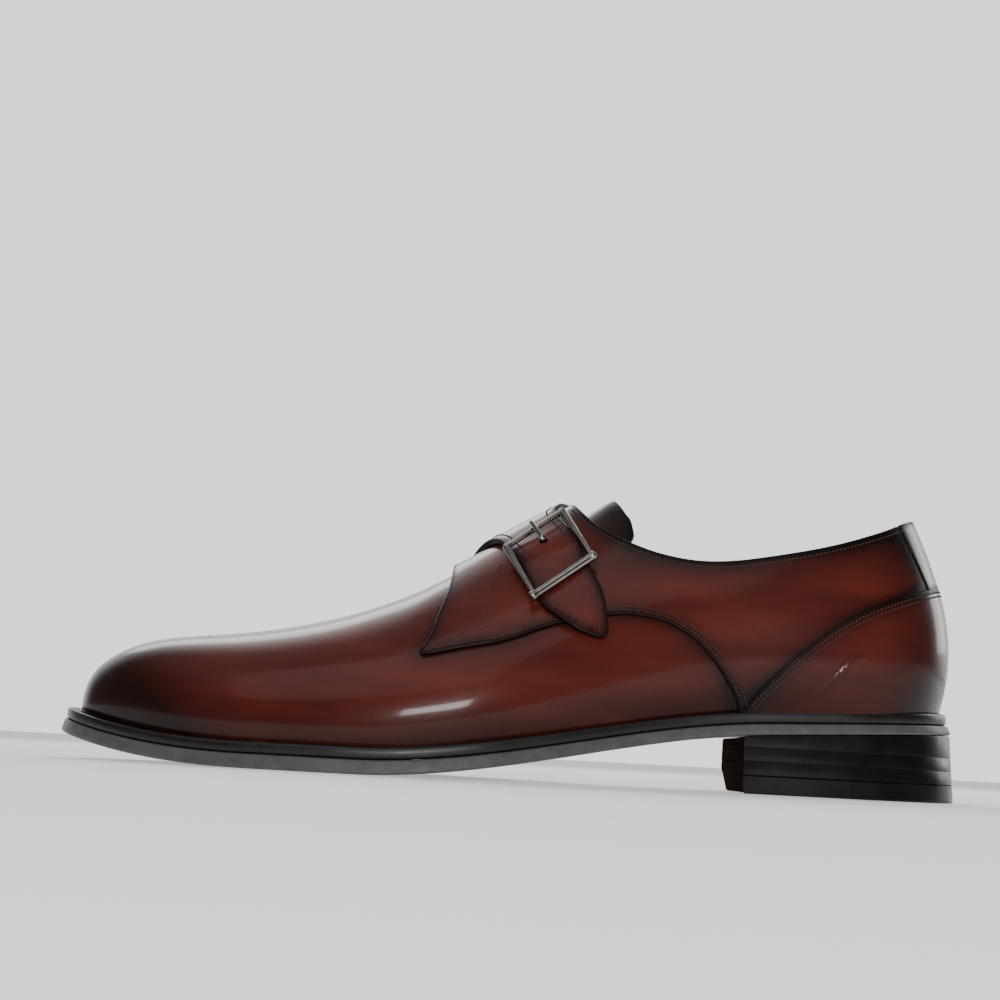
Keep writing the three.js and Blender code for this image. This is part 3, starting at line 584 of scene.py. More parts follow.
DARK = (0.0080, 0.0026, 0.0024)
leather = burnished_leather("burgundy_leather", (0.090, 0.0152, 0.0118), (0.142, 0.0228, 0.0136), 0.26)
tongue_leather = burnished_leather("tongue_leather", (0.030, 0.0062, 0.0050), (0.060, 0.0105, 0.0070), 0.33)


def plain_material(name, low, high, scale, detail, cell, grain, depth, rough, specular):
    """Thread or lining: two colours of noise over a fine cell grain."""
    m = Look(bpy.data.materials.new(name))
    v = m.coords()
    return m.set(Base_Color=m.ramp(m.noise(v, scale, detail), low, high), Roughness=rough,
                 Specular_IOR_Level=specular, Normal=m.bump(m.cells(v, cell), grain, depth))


thread = plain_material("dark_thread", (0.063, 0.0312, 0.0252), (0.105, 0.052, 0.042), 700.0, 2.0,
                        3000.0, 0.3, 0.0001, 0.7, 0.2)
lining = plain_material("tan_lining", (0.30, 0.145, 0.06), (0.42, 0.22, 0.1), 40.0, 4.0,
                        1100.0, 0.2, 0.00015, 0.55, 0.5)


def worn_material(name, low, high, scale, rough, grain=0.2, lines=None, specular=0.5):
    """Plain leather, rubber or edge finish with speckle and fine grain."""
    m = Look(bpy.data.materials.new(name))
    v = m.coords()
    base = m.ramp(m.noise(v, scale, 5.0, 0.65), low, high)
    if lines:
        wave = m.node("TexWave", {"Vector": v, "Scale": lines, "Distortion": 0.6, "Detail": 2.0},
                      wave_type="BANDS", bands_direction="Z")
        base = m.mixed(m.maths("MULTIPLY", wave.outputs["Fac"], 0.35), base, tuple(0.45 * c for c in low))
    height = m.maths("ADD", m.noise(v, 1300.0), m.maths("MULTIPLY", m.noise(v, 260.0, 2.0), 0.6))
    return m.set(Base_Color=base, Normal=m.bump(height, grain, 0.00012), Specular_IOR_Level=specular,
                 Roughness=m.ramp(m.noise(v, 120.0), (rough - 0.08,) * 3, (rough + 0.08,) * 3))


welt_mat = worn_material("welt_leather", (0.006, 0.0038, 0.0034), (0.013, 0.0085, 0.0075), 300.0, 0.36, 0.25)
edge_mat = worn_material("sole_edge", (0.07, 0.066, 0.062), (0.12, 0.113, 0.106), 260.0, 0.5)
tread_mat = worn_material("sole_forepart", (0.36, 0.355, 0.345), (0.46, 0.455, 0.44), 120.0, 0.62, 0.15)
rim_mat = worn_material("sole_rim", (0.47, 0.465, 0.455), (0.57, 0.565, 0.55), 120.0, 0.6, 0.15)
waist_mat = worn_material("sole_waist", (0.6, 0.58, 0.55), (0.7, 0.685, 0.66), 60.0, 0.5, 0.12)
# Near black for the sole's channel, border line and wheel dots: painted shade of grooves drawn flat.
groove_shade_mat = worn_material("sole_groove_shade", (0.03, 0.026, 0.024), (0.05, 0.045, 0.04), 200.0, 0.7, 0.1)
stack_mat = worn_material("heel_stack", (0.0045, 0.0032, 0.003), (0.010, 0.0075, 0.0068), 220.0, 0.34, 0.25,
                          160.0, 0.25)
breast_mat = worn_material("heel_breast", (0.010, 0.0062, 0.0048), (0.030, 0.019, 0.014), 240.0, 0.9, 0.35,
                           160.0, 0.0)
cream_mat = worn_material("heel_front_leather", (0.55, 0.5, 0.44), (0.68, 0.63, 0.56), 90.0, 0.6)
rubber_mat = worn_material("heel_rubber", (0.45, 0.41, 0.36), (0.54, 0.5, 0.45), 160.0, 0.75, 0.3)
# Near black for holes: painted shade of their insides.
hole_shade_mat = worn_material("pin_hole_shade", (0.004, 0.002, 0.002), (0.008, 0.004, 0.004), 200.0, 0.6, 0.1, None, 0.05)
nail_mat = worn_material("brass_nail", (0.12, 0.075, 0.06), (0.2, 0.13, 0.1), 300.0, 0.4)


def steel_material():
    m = Look(bpy.data.materials.new("polished_steel"))
    v = m.coords()
    return m.set(Base_Color=m.ramp(m.noise(v, 260.0), (0.24, 0.228, 0.21), (0.36, 0.343, 0.32)), Metallic=1.0,
                 Roughness=m.ramp(m.noise(m.coords((1, 1, 8)), 500.0, 2.0), (0.12,) * 3, (0.24,) * 3),
                 Normal=m.bump(m.noise(v, 900.0), 0.05, 0.0001))


steel = steel_material()


STRIP_GAP = 0.45


# Lines on the last, all with the lateral side as -1 and the medial side as 1
def flat(value):
    return lambda k, v: np.full(np.shape(k), float(value))


def stand(k, v):
    return FIT + OVERLAY + RIDGE_STAND * np.exp(-(np.asarray(v) / 0.25) ** 2)


# Unevenness of the vamp: height, wave length, turn, place and reach along x, place and reach around
VAMP_WAVES = ((0.18, 7.5, 5, -45, 22, 0.45, 0.22), (0.10, 4.1, -7, -30, 14, 0.25, 0.2))


def crease(k, v):
    """Soft unevenness of a lasted upper, in millimetres."""
    x = col(0, k) * LENGTH
    return sum(high * np.sin(x / wave + turn * v) * np.exp(-((x - x_at) / x_reach) ** 2)
               * np.exp(-((np.abs(v) - v_at) / v_reach) ** 2)
               for high, wave, turn, x_at, x_reach, v_at, v_reach in VAMP_WAVES)


def table_line(table):
    p = side_line(table, 0.4)
    return p[np.argsort(p[:, 0])]


COLLAR_LINE, COUNTER_LINE, STRIP_LINE = (table_line(t) for t in (COLLAR_EDGE, COUNTER_EDGE, STRIP_EDGE))


def crossing(table, k, sign, tilt=0.0, rise=0.0):
    """Where a line z(x) seen from the side meets each row of the last."""
    def above(mid):
        p = last(k, sign * mid)
        return p[:, 2] > np.interp(p[:, 0], *table.T) + tilt * p[:, 1] + rise
    return pair(k, sign * halve(above, np.zeros_like(k), np.ones_like(k)))


def even(kv):
    return unchart(resample(chart(kv), 0.7))


def back_rows(x_from, count=500):
    k0 = float(row_at(np.array(x_from)))
    return k0 + (NS - k0) * np.linspace(0, 1, count) ** 0.9


def collar_line(sign):
    """The collar from the ridge of the instep back to the heel."""
    c = crossing(COLLAR_LINE, back_rows(COLLAR_LINE[0, 0] + 0.02, 900), sign, COLLAR_TILT)
    ridge = pair(np.full(12, c[0, 0]), np.linspace(0.0, c[0, 1], 12))
    return even(np.concatenate([ridge[:-1], c]))


collar_kv = {s: collar_line(s) for s in (-1, 1)}
counter_kv = {s: even(crossing(COUNTER_LINE, back_rows(COUNTER_LINE[0, 0] + 0.4), s)) for s in (-1, 1)}
quarter_kv = {s: kv_line(QUARTER_EDGE, s) for s in (-1, 1)}


def strip_edge(sign, shift):
    """Front edge of the back strip from the counter up to the collar."""
    v = np.linspace(0.75, 0.1, 260)
    line = STRIP_LINE[np.argsort(STRIP_LINE[:, 1])]

    def ahead(mid):
        p = last(mid, sign * v)
        return p[:, 0] < np.interp(p[:, 2], line[:, 1], line[:, 0]) + shift
    kv = pair(halve(ahead, np.full_like(v, 11.0), np.full_like(v, NS)), sign * v)
    p = last(*kv.T)
    low = p[:, 2] > np.interp(p[:, 0], COUNTER_LINE[:, 0], COUNTER_LINE[:, 1]) + STRIP_GAP
    c = collar_kv[sign]
    high = np.abs(kv[:, 1]) > np.abs(np.interp(kv[:, 0], c[:, 0], c[:, 1])) + 0.006
    return kv[low & high]


def upper_loop():
    lat, med = collar_kv[-1], collar_kv[1]
    u = np.linspace(0.0, NS, 260)
    heel, toe = np.full(20, NS), np.zeros(20)
    return np.concatenate([
        pair(u, np.full_like(u, -1)), pair(heel, np.linspace(-1, lat[-1, 1], 20)), lat[::-1],
        np.array([[0.5 * (lat[0, 0] + med[0, 0]), 0.0]]), med, pair(heel, np.linspace(med[-1, 1], 1, 20)),
        pair(u[::-1], np.full_like(u, 1)), pair(toe, np.linspace(1, -1, 20))])


def shell_piece(name, height, material, step, seam_lines=(), inward=False):
    """The whole upper as one surface over the last, from the feather to the collar."""
    uv, faces, _ = fill_chart(resample(chart(upper_loop()), 1.0, True), step)
    kv = unchart(uv)
    kv[:, 0] = np.clip(kv[:, 0], 0, NS)
    p, n = displaced(kv, height)
    p[np.abs(kv[:, 1]) > FOOT_V, 2] -= WELT_GAP
    n = -n if inward else n
    ob = new_object(name, p, orient(p, faces, n), material, n)
    paint(ob, "edge", np.zeros(len(p)))
    seam = np.zeros(len(p))
    if seam_lines:
        d = near(p, np.concatenate([off(*line.T, np.zeros(len(line))) for line in seam_lines]))
        seam = np.exp(-(d / 3.0) ** 2) * 0.85 + np.exp(-(d / 10.0) ** 2) * 0.3
    paint(ob, "seam", seam)
    burn(ob, p)
    return ob


def tube_faces(m, rings, closed=True, cap=False, start=0):
    """Faces between rings of m points each, with the ends filled if cap is set."""
    faces = []
    for i in range(start, start + (rings - 1) * m, m):
        for j in range(m if closed else m - 1):
            a, b = i + j, i + (j + 1) % m
            faces.append([a, b, b + m, a + m])
    if cap:
        faces.append([start + j for j in range(m)][::-1])
        faces.append([start + (rings - 1) * m + j for j in range(m)])
    return faces


def circle(centre, a, b, radius, count):
    """Points around a centre on the axes a and b."""
    t = 2 * math.pi * np.arange(count)[:, None] / count
    return centre + (a * np.cos(t) + b * np.sin(t)) * radius


def shade_discs(name, spots, radius, count, sink=0.0):
    """Dark discs on the leather, painted shade where holes are. spots are (point, normal)."""
    verts, faces = [], []
    for p, n in spots:
        a = unit(np.cross(n, [0, 1, 0]))
        start = len(verts) * (count + 1)
        verts.append(np.concatenate([[p - n * sink], circle(p, a, np.cross(n, a), radius, count)]))
        faces += [[start, start + 1 + j, start + 1 + (j + 1) % count] for j in range(count)]
    return new_object(name, np.concatenate(verts), faces, hole_shade_mat)


def tube_stitches(name, rows, pitch=1.4, length=1.3, thick=0.62, slant=0.38):
    """Sewn rows as short slanted threads. rows are (kv line, height function)."""
    verts, faces = [], []
    ring, cuts = 5, 4
    t = np.linspace(-1, 1, cuts)[:, None, None]
    wide = thick / 2 * np.sqrt(np.maximum(0.02, 1 - np.abs(t) ** 2.6 * 0.98))
    a = 2 * math.pi * np.arange(ring)[None, :, None] / ring
    for kv, height in rows:
        p = off(*kv.T, height(*kv.T))
        s = run_of(p)
        at = np.arange(pitch / 2, s[-1], pitch)
        nn = unit(on_line(at, s, last_normal(*kv.T)))
        run = unit(on_line(at + 0.3, s, p) - on_line(at - 0.3, s, p))
        run = unit(run + unit(np.cross(nn, run)) * slant)
        for m, r, n, w in zip(on_line(at, s, p), run, nn, unit(np.cross(nn, run))):
            faces += tube_faces(ring, cuts, cap=True, start=len(verts) * ring * cuts)
            centre = m + r * (t * length / 2) + n * (0.05 - 0.22 * t * t)
            verts.append((centre + w * (wide * np.cos(a)) + n * (wide * 0.8 * np.sin(a))).reshape(-1, 3))
    return new_object(name, np.concatenate(verts), faces, thread)


def loft(name, rings, material, closed=True, cap=False):
    faces = tube_faces(len(rings[0]), len(rings), closed, cap)
    return new_object(name, np.concatenate(rings), faces, material)


def by_face(ob, kinds, *materials):
    """Adds materials to an object and gives each face the one its kind counts to."""
    for m in materials:
        ob.data.materials.append(m)
    ob.data.polygons.foreach_set("material_index", np.array(kinds, np.int32))


def join(name, objects):
    """One object of several, for a piece that takes one node's place."""
    for o in bpy.context.selected_objects:
        o.select_set(False)
    for o in objects:
        o.select_set(True)
    bpy.context.view_layer.objects.active = objects[0]
    with bpy.context.temp_override(active_object=objects[0], selected_editable_objects=objects,
                                   selected_objects=objects):
        bpy.ops.object.join()
    objects[0].name = name
    objects[0].data.name = name
    return objects[0]


# Upper: outer skin, lining and the rolled edge of the collar
def quarter_rear(sign):
    """Rear edges of a quarter: along the counter, then along the back strip to the collar."""
    tk = strip_edge(sign, -STRIP_GAP)
    k = back_rows(COUNTER_LINE[0, 0] + 0.3)
    ck = crossing(COUNTER_LINE, k, sign, 0.0, STRIP_GAP)
    return ck[ck[:, 0] < tk[0, 0] - 0.01], tk


def ccw(loop):
    """The loop running anticlockwise on the chart."""
    c = chart(loop)
    area = 0.5 * np.sum(c[:, 0] * np.roll(c[:, 1], -1) - np.roll(c[:, 0], -1) * c[:, 1])
    return loop if area > 0 else loop[::-1]


def lateral_loop():
    q = quarter_kv[-1]
    ck, tk = quarter_rear(-1)
    c = collar_kv[-1]
    c = c[(c[:, 0] < tk[-1, 0]) & (c[:, 0] > 0)]
    q = q[np.abs(q[:, 1]) > 0.004]
    m = collar_kv[1]
    over = m[(m[:, 1] > 0.01) & (m[:, 1] < 0.13) & (m[:, 0] < m[0, 0] + 0.5)]
    tuck = [[float(row_at(np.array(x * LENGTH))), v]
            for x, v in ((-0.0150, 0.19), (-0.0440, 0.205), (-0.0505, 0.15), (-0.0530, 0.08), (-0.0538, 0.03))]
    return ccw(np.concatenate([q, ck, tk, c[::-1], over, tuck]))


STRAP_FRONT = curve_through(pair(STRAP[:, 1] * LENGTH, STRAP[:, 0] * GIRTH), 0.5)
STRAP_REAR = curve_through(pair(STRAP[:, 2] * LENGTH, STRAP[:, 0] * GIRTH), 0.5)
ROOM_V = np.linspace(0.3, -0.735, 200)
ROOM = np.interp(ROOM_V, STRAP[::-1, 0], STRAP[::-1, 3])
ROOM = np.convolve(np.pad(ROOM, 9, "edge"), np.hanning(21)[1:-1] / 10, "valid")


def strap_under(v):
    """Height of the strap's underside over the last."""
    return np.interp(v, ROOM_V[::-1], ROOM[::-1])


def strap_share(v):
    """Share of the strap in the height of its panel: 0 on the medial quarter, 1 over the instep."""
    return smooth((0.26 - v) / 0.22)


def strap_height(k, v):
    v = np.asarray(v, float)
    w = strap_share(v)
    return stand(k, v) * (1 - w) + (strap_under(v) + STRAP_LEATHER) * w


def lateral_height(k, v):
    """Top of the lateral quarter; it thins out where it lies under the medial strap."""
    return stand(k, v) - 1.1 * smooth((np.asarray(v) - 0.08) / 0.11)


def strap_low(k, v):
    v = np.asarray(v, float)
    w = strap_share(v)
    low = FIT * (1 - w) + strap_under(v) * w
    return np.where((v > -0.02) & (v < 0.22), np.maximum(low, lateral_height(k, v) + 0.12), low)


def strap_edge(line, lo, hi):
    v = line[:, 1] / GIRTH
    keep = (v >= lo) & (v <= hi)
    return pair(row_at(line[keep, 0]), v[keep])


def medial_loop():
    q = quarter_kv[1]
    ck, tk = quarter_rear(1)
    c = collar_kv[1]
    c = c[(c[:, 0] < tk[-1, 0]) & (c[:, 1] > 0.16)]
    q = q[np.abs(q[:, 1]) > 0.30]
    front = strap_edge(STRAP_FRONT, -0.74, 0.27)
    rear = strap_edge(STRAP_REAR, -0.735, 0.10)
    return ccw(np.concatenate([q, ck, tk, c[::-1], rear, front[::-1]]))


upper_skin = shell_piece("upper_skin", crease, leather, 1.7,
                         [quarter_kv[-1][6:], quarter_kv[1][6:], counter_kv[-1], counter_kv[1]])
lining_skin = shell_piece("lining", flat(-WALL), lining, 3.0, inward=True)


def collar_bead():
    """The turned edge of the collar, from the quarters over to the lining."""
    lat, med = collar_kv[-1], collar_kv[1]
    ridge = np.array([[0.5 * (lat[0, 0] + med[0, 0]), 0.0]])
    there, home = (resample(chart(np.concatenate([ridge, side])), 0.9) for side in (lat, med))
    kv = unchart(np.concatenate([there, home[::-1][:-1]]))
    outer = off(*kv.T, stand(*kv.T))
    inner = off(*kv.T, np.full(len(kv), -WALL - 0.25))
    mid = (outer + inner) / 2
    half = np.linalg.norm(outer - inner, axis=-1, keepdims=True) / 2
    across = unit(outer - inner)
    up = unit(np.cross(unit(np.roll(mid, -1, 0) - np.roll(mid, 1, 0)), across))
    up = np.where(up[:, 2:] < 0, -up, up)
    ob = loft("collar_bead", [mid + across * half * math.cos(a) + up * (0.95 * math.sin(a) - 0.45)
                              for a in np.linspace(0, math.pi, 13)], leather)
    for name, value in (("edge", 0.8), ("seam", 0.6), ("burn", 1.0)):
        paint(ob, name, np.full(len(ob.data.vertices), value))
    return ob


upper_piece = join("upper_leather", [upper_skin, collar_bead()])
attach(upper_piece, "root")
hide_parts("upper")
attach(lining_skin, "root")

# Quarters, strap, counter and back strip
lateral = leather_panel("quarter_lateral_leather", lateral_loop(), lateral_height, flat(FIT * 0.2), leather)
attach(lateral, "root")
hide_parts("quarter_lateral")
medial = leather_panel("quarter_medial_leather", medial_loop(), strap_height, strap_low, leather, flesh=True)
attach(medial, "root")
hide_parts("quarter_medial_strap")


# Short creases over the lateral counter: two ends seen from the side, height over the feather, fade
CREASES = np.array([
    [100.0, 5.5, 113.5, 18.5, 0.38],
    [104.5, 3.5, 110.5, 9.0, 0.14],
    [94.0, 6.0, 99.0, 11.5, 0.12],
])


def counter_height(k, v):
    k, v = np.asarray(k, float), np.asarray(v, float)
    p = last(k, v)
    x, z = p[..., 0], p[..., 2] - feather(p[..., 0])
    out = np.full(np.shape(x), FIT + COUNTER_LEATHER)
    for x0, z0, x1, z1, high in CREASES:
        dx, dz = x1 - x0, z1 - z0
        size = math.hypot(dx, dz)
        t = ((x - x0) * dx + (z - z0) * dz) / size ** 2
        d = ((x - x0) * dz - (z - z0) * dx) / size - 1.3 * (t - 0.5) ** 2
        fade = np.clip(t, 0, 1) * np.clip(1 - t, 0, 1) * 4
        fold = np.exp(-d ** 2) - 0.45 * np.exp(-((d - 1.9) / 1.2) ** 2)
        out = out + np.where(v < 0, high * fade * fold, 0)
    return out


def counter_loop():
    halves = []
    for s in (-1, 1):
        c = counter_kv[s]
        up = pair(np.full(12, NS), np.linspace(c[-1, 1], s, 12))
        low = pair(np.linspace(NS, c[0, 0], 60), np.full(60, s))
        halves.append(ccw(np.concatenate([c, up, low])))
    return halves


def strip_loop():
    halves = []
    for s in (-1, 1):
        e = strip_edge(s, 0.0)
        c = collar_kv[s]
        c = c[c[:, 0] > e[-1, 0]]
        k = back_rows(COUNTER_LINE[0, 0] + 0.3)
        cl = crossing(COUNTER_LINE, k[k > e[0, 0]], s, 0.0, STRIP_GAP)[::-1]
        seam = pair(np.full(12, NS), np.linspace(c[-1, 1], cl[0, 1], 12))
        halves.append(ccw(np.concatenate([e, c, seam, cl])))
    return halves


def two_sided(name, halves, height, step, node_name):
    ob = join(name, [leather_panel(name, loop, height, flat(0.05), leather, step) for loop in halves])
    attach(ob, "root")
    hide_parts(node_name)


two_sided("counter_leather", counter_loop(), counter_height, 0.9, "counter")
two_sided("back_strip_leather", strip_loop(), flat(FIT + 1.6), 1.2, "back_strip")

# Tongue
TONGUE_BASE = -WALL - TONGUE_FIT - TONGUE_LEATHER


def tongue_place(k, v):
    """Share along the tongue and across it of a point of the last."""
    x = col(0, k)
    at = x
    for _ in range(40):
        half = np.interp(at, TONGUE[:, 0], TONGUE[:, 1])
        t = np.clip(np.asarray(v) / half, -1, 1)
        at = 0.5 * at + 0.5 * (x - np.interp(at, TONGUE[:, 0], TONGUE[:, 3]) * t * t)
    return at, t


def tongue_height(k, v):
    at, t = tongue_place(k, v)
    return TONGUE_BASE + np.interp(at, TONGUE[:, 0], TONGUE[:, 2]) * (1 - t * t) + TONGUE_LEATHER


def tongue_loop():
    side = pair((TONGUE[:, 0] + TONGUE[:, 3]) * LENGTH, TONGUE[:, 1] * GIRTH)
    t = np.linspace(1, 0, 9)[1:]
    x1, half, _, lean = TONGUE[-1]
    side = curve_through(side, 0.6)
    rear = pair((x1 + lean * t * t) * LENGTH, t * half * GIRTH)
    line = curve_through(np.concatenate([side[:-3], rear]), 0.6)
    k = row_at(line[:, 0])
    v = line[:, 1] / GIRTH
    return ccw(np.concatenate([pair(k, v), pair(k, -v)[::-1][1:]]))


tongue = leather_panel("tongue_leather", tongue_loop(), tongue_height,
                       lambda k, v: tongue_height(k, v) - TONGUE_LEATHER, tongue_leather, 1.4, 0.8, True)
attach(tongue, "root")
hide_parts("tongue")


# Stitching
rows = []
for s, height in ((-1, stand), (1, strap_height)):
    q = quarter_kv[s]
    q = q[np.abs(q[:, 1]) < 0.985]
    corner = int(np.argmin(last(*q.T) @ [1, 0, 0.6]))
    low = q[corner + 2:]
    side = 1 if s < 0 else -1
    for d in (1.0, 2.5):
        rows.append((inset(low, d * side), height))
    front = q[:corner - 1]
    front = front[np.abs(front[:, 1]) > 0.3]
    if len(front) > 6 and s > 0:
        rows.append((inset(front, 1.9 * side), height))
    c = counter_kv[s]
    c = c[(np.abs(c[:, 1]) < 0.98) & (c[:, 0] < NS - 0.02)]
    for d in (0.9, 2.3):
        rows.append((inset(c, -d * side), counter_height))
    line = collar_kv[s]
    line = line[(line[:, 0] < NS - 0.04) & (np.abs(line[:, 1]) > 0.12)]
    rows.append((inset(line, -1.7 * side), height))
front = strap_edge(STRAP_FRONT, -0.74, 0.3)
rear = strap_edge(STRAP_REAR, -0.735, -0.02)
rows.append((inset(front, 2.4), strap_height))
rows.append((inset(rear, -2.4), strap_height))
seams = tube_stitches("seam_stitches", rows)
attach(seams, "root")


def side_points(points, sign):
    """Lines given on the side view in real millimetres: x and height over the feather edge."""
    p = curve_through(np.array(points, float), 0.6)
    return pair(*side_to_kv(p[:, 0], feather(p[:, 0]) + p[:, 1], sign))


base_rows = [
    (side_points([(-25, 31.5), (-18, 33.5), (-9.5, 37.5)], -1), stand),
    (side_points([(-9.5, 38.0), (-9.2, 45), (-7, 52), (-4.5, 58)], -1), stand),
    (side_points([(-25, 32.0), (-16, 34.5), (-6.5, 38.0)], 1), strap_height),
    (side_points([(-6.5, 38.5), (-6.8, 47), (-3, 56), (5, 63), (16, 69.5)], 1), strap_height),
]
base = tube_stitches("strap_base_stitches", base_rows)
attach(base, "root")

# Pin holes of the medallion on the toe, drawn as dark discs of painted shade
MEDALLION = [(-121, 0), (-117, 2.2), (-117, -2.2), (-112.5, 0), (-108, 3.6), (-108, -3.6), (-104, 0),
             (-99.5, 5.2), (-99.5, -5.2), (-99, 0), (-95, 2.6), (-95, -2.6), (-113, 6.4), (-113, -6.4),
             (-104, 8.2), (-104, -8.2)]


def toe_point(x, y):
    k = float(row_at(x))
    v = float(halve(lambda mid: last(k, mid)[1] < y - 1.5, -0.6, 0.6, 30))
    return off(k, v, 0.03), last_normal(k, v)


medallion = shade_discs("medallion_hole_shades", [toe_point(x, y) for x, y in MEDALLION], 0.62, 14, 0.02)
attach(medallion, "root")


# Sole
def plan_side(margin, sign, k0=0.0, count=260):
    """Edge of the shoe in plan on one side, grown by margin(x)."""
    t = np.linspace(0, 1, count)
    k = k0 + (NS - k0) * t
    c = 1 if sign < 0 else 2
    e = 1e-3

    def spot(kk):
        return pair(col(0, kk) * LENGTH, sign * col(c, kk) * BALL_WIDTH)
    kk = np.clip(k, e, NS - e)
    d = unit(spot(kk + e) - spot(kk - e))
    out = sign * pair(-d[:, 1], d[:, 0])
    out[(k < 0.01) | (k > NS - 0.01), 1] = 0
    p = spot(k)
    return p + out * margin(p[:, 0], sign)[:, None]


def margin_fn(extra):
    return lambda x, s: np.interp(x / LENGTH, SOLE_MARGIN[:, 0], SOLE_MARGIN[:, 1 if s < 0 else 2]) + extra


def plan_loop(margin, step):
    lat, med = plan_side(margin, -1), plan_side(margin, 1)
    return resample(np.concatenate([lat, med[-2:0:-1]]), step, True)


OUTLINE = plan_loop(margin_fn(0.0), 1.2)


def outward(loop):
    t = unit(np.roll(loop, -1, 0) - np.roll(loop, 1, 0))
    return pair(t[:, 1], -t[:, 0])


def grown(d, loop=OUTLINE):
    return loop + outward(loop) * d


def raised(p, z):
    return np.concatenate([p, z[:, None]], -1) + SHIFT


FLARE = EDGE_FLARE * 0.45
# Lift of the underside off the floor, height of a wheel mark, both in millimetres
LIFT_OFF, MARK_HIGH = 0.06, 0.14


def outsole_side():
    rings = []
    for d, share, up in ((-2.2, 0, LIFT_OFF + 0.3), (-1.0, 0, LIFT_OFF), (-0.35, 0, LIFT_OFF + 0.08),
                         (-0.05, 0, LIFT_OFF + 0.4), (0.0, 0, 0.9), (-0.02, 0.5, 0),
                         (-0.05, 1, -0.75), (-0.25, 1, -0.3), (-0.7, 1, -0.08), (-1.5, 1, 0.0), (-14, 1, 0.0)):
        p = grown(d + (FLARE * (1 - share) if d > -5 else 0))
        rings.append(raised(p, underside(p[:, 0]) + share * sole_thick(p[:, 0]) + up))
    ob = loft("outsole_edge", rings, edge_mat)
    ob.data.materials.append(rim_mat)
    return ob


def lattice(reach, wide, ring, lines, gap):
    """Grid points inside a ring that keep a gap to the lines."""
    x, y = np.meshgrid(np.arange(*reach, 3.0), np.arange(-wide, wide, 3.0), indexing="ij")
    grid = pair(x, y).reshape(-1, 2)
    grid = grid[inside(ring, grid)]
    return grid[near(grid, lines) > gap]


def beside(line):
    t = unit(np.gradient(line, axis=0))
    return pair(-t[:, 1], t[:, 0])


# Rear border of the worn tread panel, seen from below
TREAD_BORDER = np.array([(-17, -42.5), (-8, -34), (3, -22), (11, -11), (15, -3.5), (11, 5), (2, 16), (-7, 28),
                         (-13, 38.5)], float)


def sole_bottom():
    """The underside: worn tread panel with its channel, rim around it and smooth waist."""
    cut_x = SEAT_FRONT + 8
    loop = resample(grown(FLARE - 1.0), 1.6, True)
    ring = np.roll(loop, -1 - np.where(loop[:, 0] >= cut_x)[0][-1], 0)
    ring = ring[ring[:, 0] < cut_x]
    inner = grown(FLARE - 9.0)
    inner = inner[inner[:, 0] < -16.5]
    med, lat = inner[inner[:, 1] > 0], inner[inner[:, 1] <= 0]
    channel = np.concatenate([med[np.argsort(-med[:, 0])], lat[np.argsort(lat[:, 0])]])
    border = curve_through(TREAD_BORDER, 1.2)
    lines = [ring, channel, border]
    n0, n1, n2 = map(len, lines)
    edges = [(i, (i + 1) % n0) for i in range(n0)]
    edges += [(i, i + 1) for i in [*range(n0, n0 + n1 - 1), *range(n0 + n1, n0 + n1 + n2 - 1)]]
    lines.append(lattice((-152, cut_x), 56, ring, np.concatenate(lines), 1.3))
    uv, faces = triangles(np.concatenate(lines), edges)
    ob = new_object("outsole_bottom", raised(uv, underside(uv[:, 0]) + LIFT_OFF), [f[::-1] for f in faces],
                    tread_mat)
    centre = np.array([uv[f].mean(0) for f in faces])
    waist = np.concatenate([border, [(-13, 60), (cut_x + 5, 60), (cut_x + 5, -60), (-17, -60)]])
    tread = np.concatenate([channel, border])
    by_face(ob, np.where(inside(waist, centre), 2, np.where(inside(tread, centre), 0, 1)), rim_mat, waist_mat)
    parts = [ob]
    # Dark strips and dots laid on the flat underside: painted shade of the channel groove, the border line and
    # its wheel dots.
    for line, wide in ((channel, 0.5), (border, 0.4)):
        side = beside(line) * wide / 2
        parts.append(loft("line", [raised(p, underside(p[:, 0]) + LIFT_OFF - 0.025)
                                   for p in (line - side, line + side)], groove_shade_mat, closed=False))
    dots = np.concatenate([circle(c, *np.eye(2), 0.26, 6) for d in (-1.6, 1.6)
                           for c in resample(border + beside(border) * d, 1.3)])
    parts.append(new_object("dots", raised(dots, underside(dots[:, 0]) + LIFT_OFF - 0.02),
                            np.arange(len(dots)).reshape(-1, 6), groove_shade_mat))
    return join("outsole_bottom", parts)


sole = join("outsole_leather", [outsole_side(), sole_bottom()])
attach(sole, "root")
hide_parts("outsole")


def welt():
    rings = []
    for d, share, up in ((-14, 0, 0.0), (-1.2, 0, 0.0), (-0.5, 0, 0.1), (-0.1, 0, 0.5), (0.0, 0, 1.0),
                         (-0.02, 0.5, 0.0), (-0.1, 1, -0.9), (-0.35, 1, -0.35), (-0.8, 1, -0.08),
                         (-1.5, 1, 0.02), (-2.4, 1, -0.1), (-4.2, 1, -0.12), (-9, 1, -0.1)):
        p = grown(d - WELT_INSET)
        rings.append(raised(p, welt_under(p[:, 0]) - 0.25 + share * (WELT + 0.25) + up))
    return loft("welt_leather", rings, welt_mat)


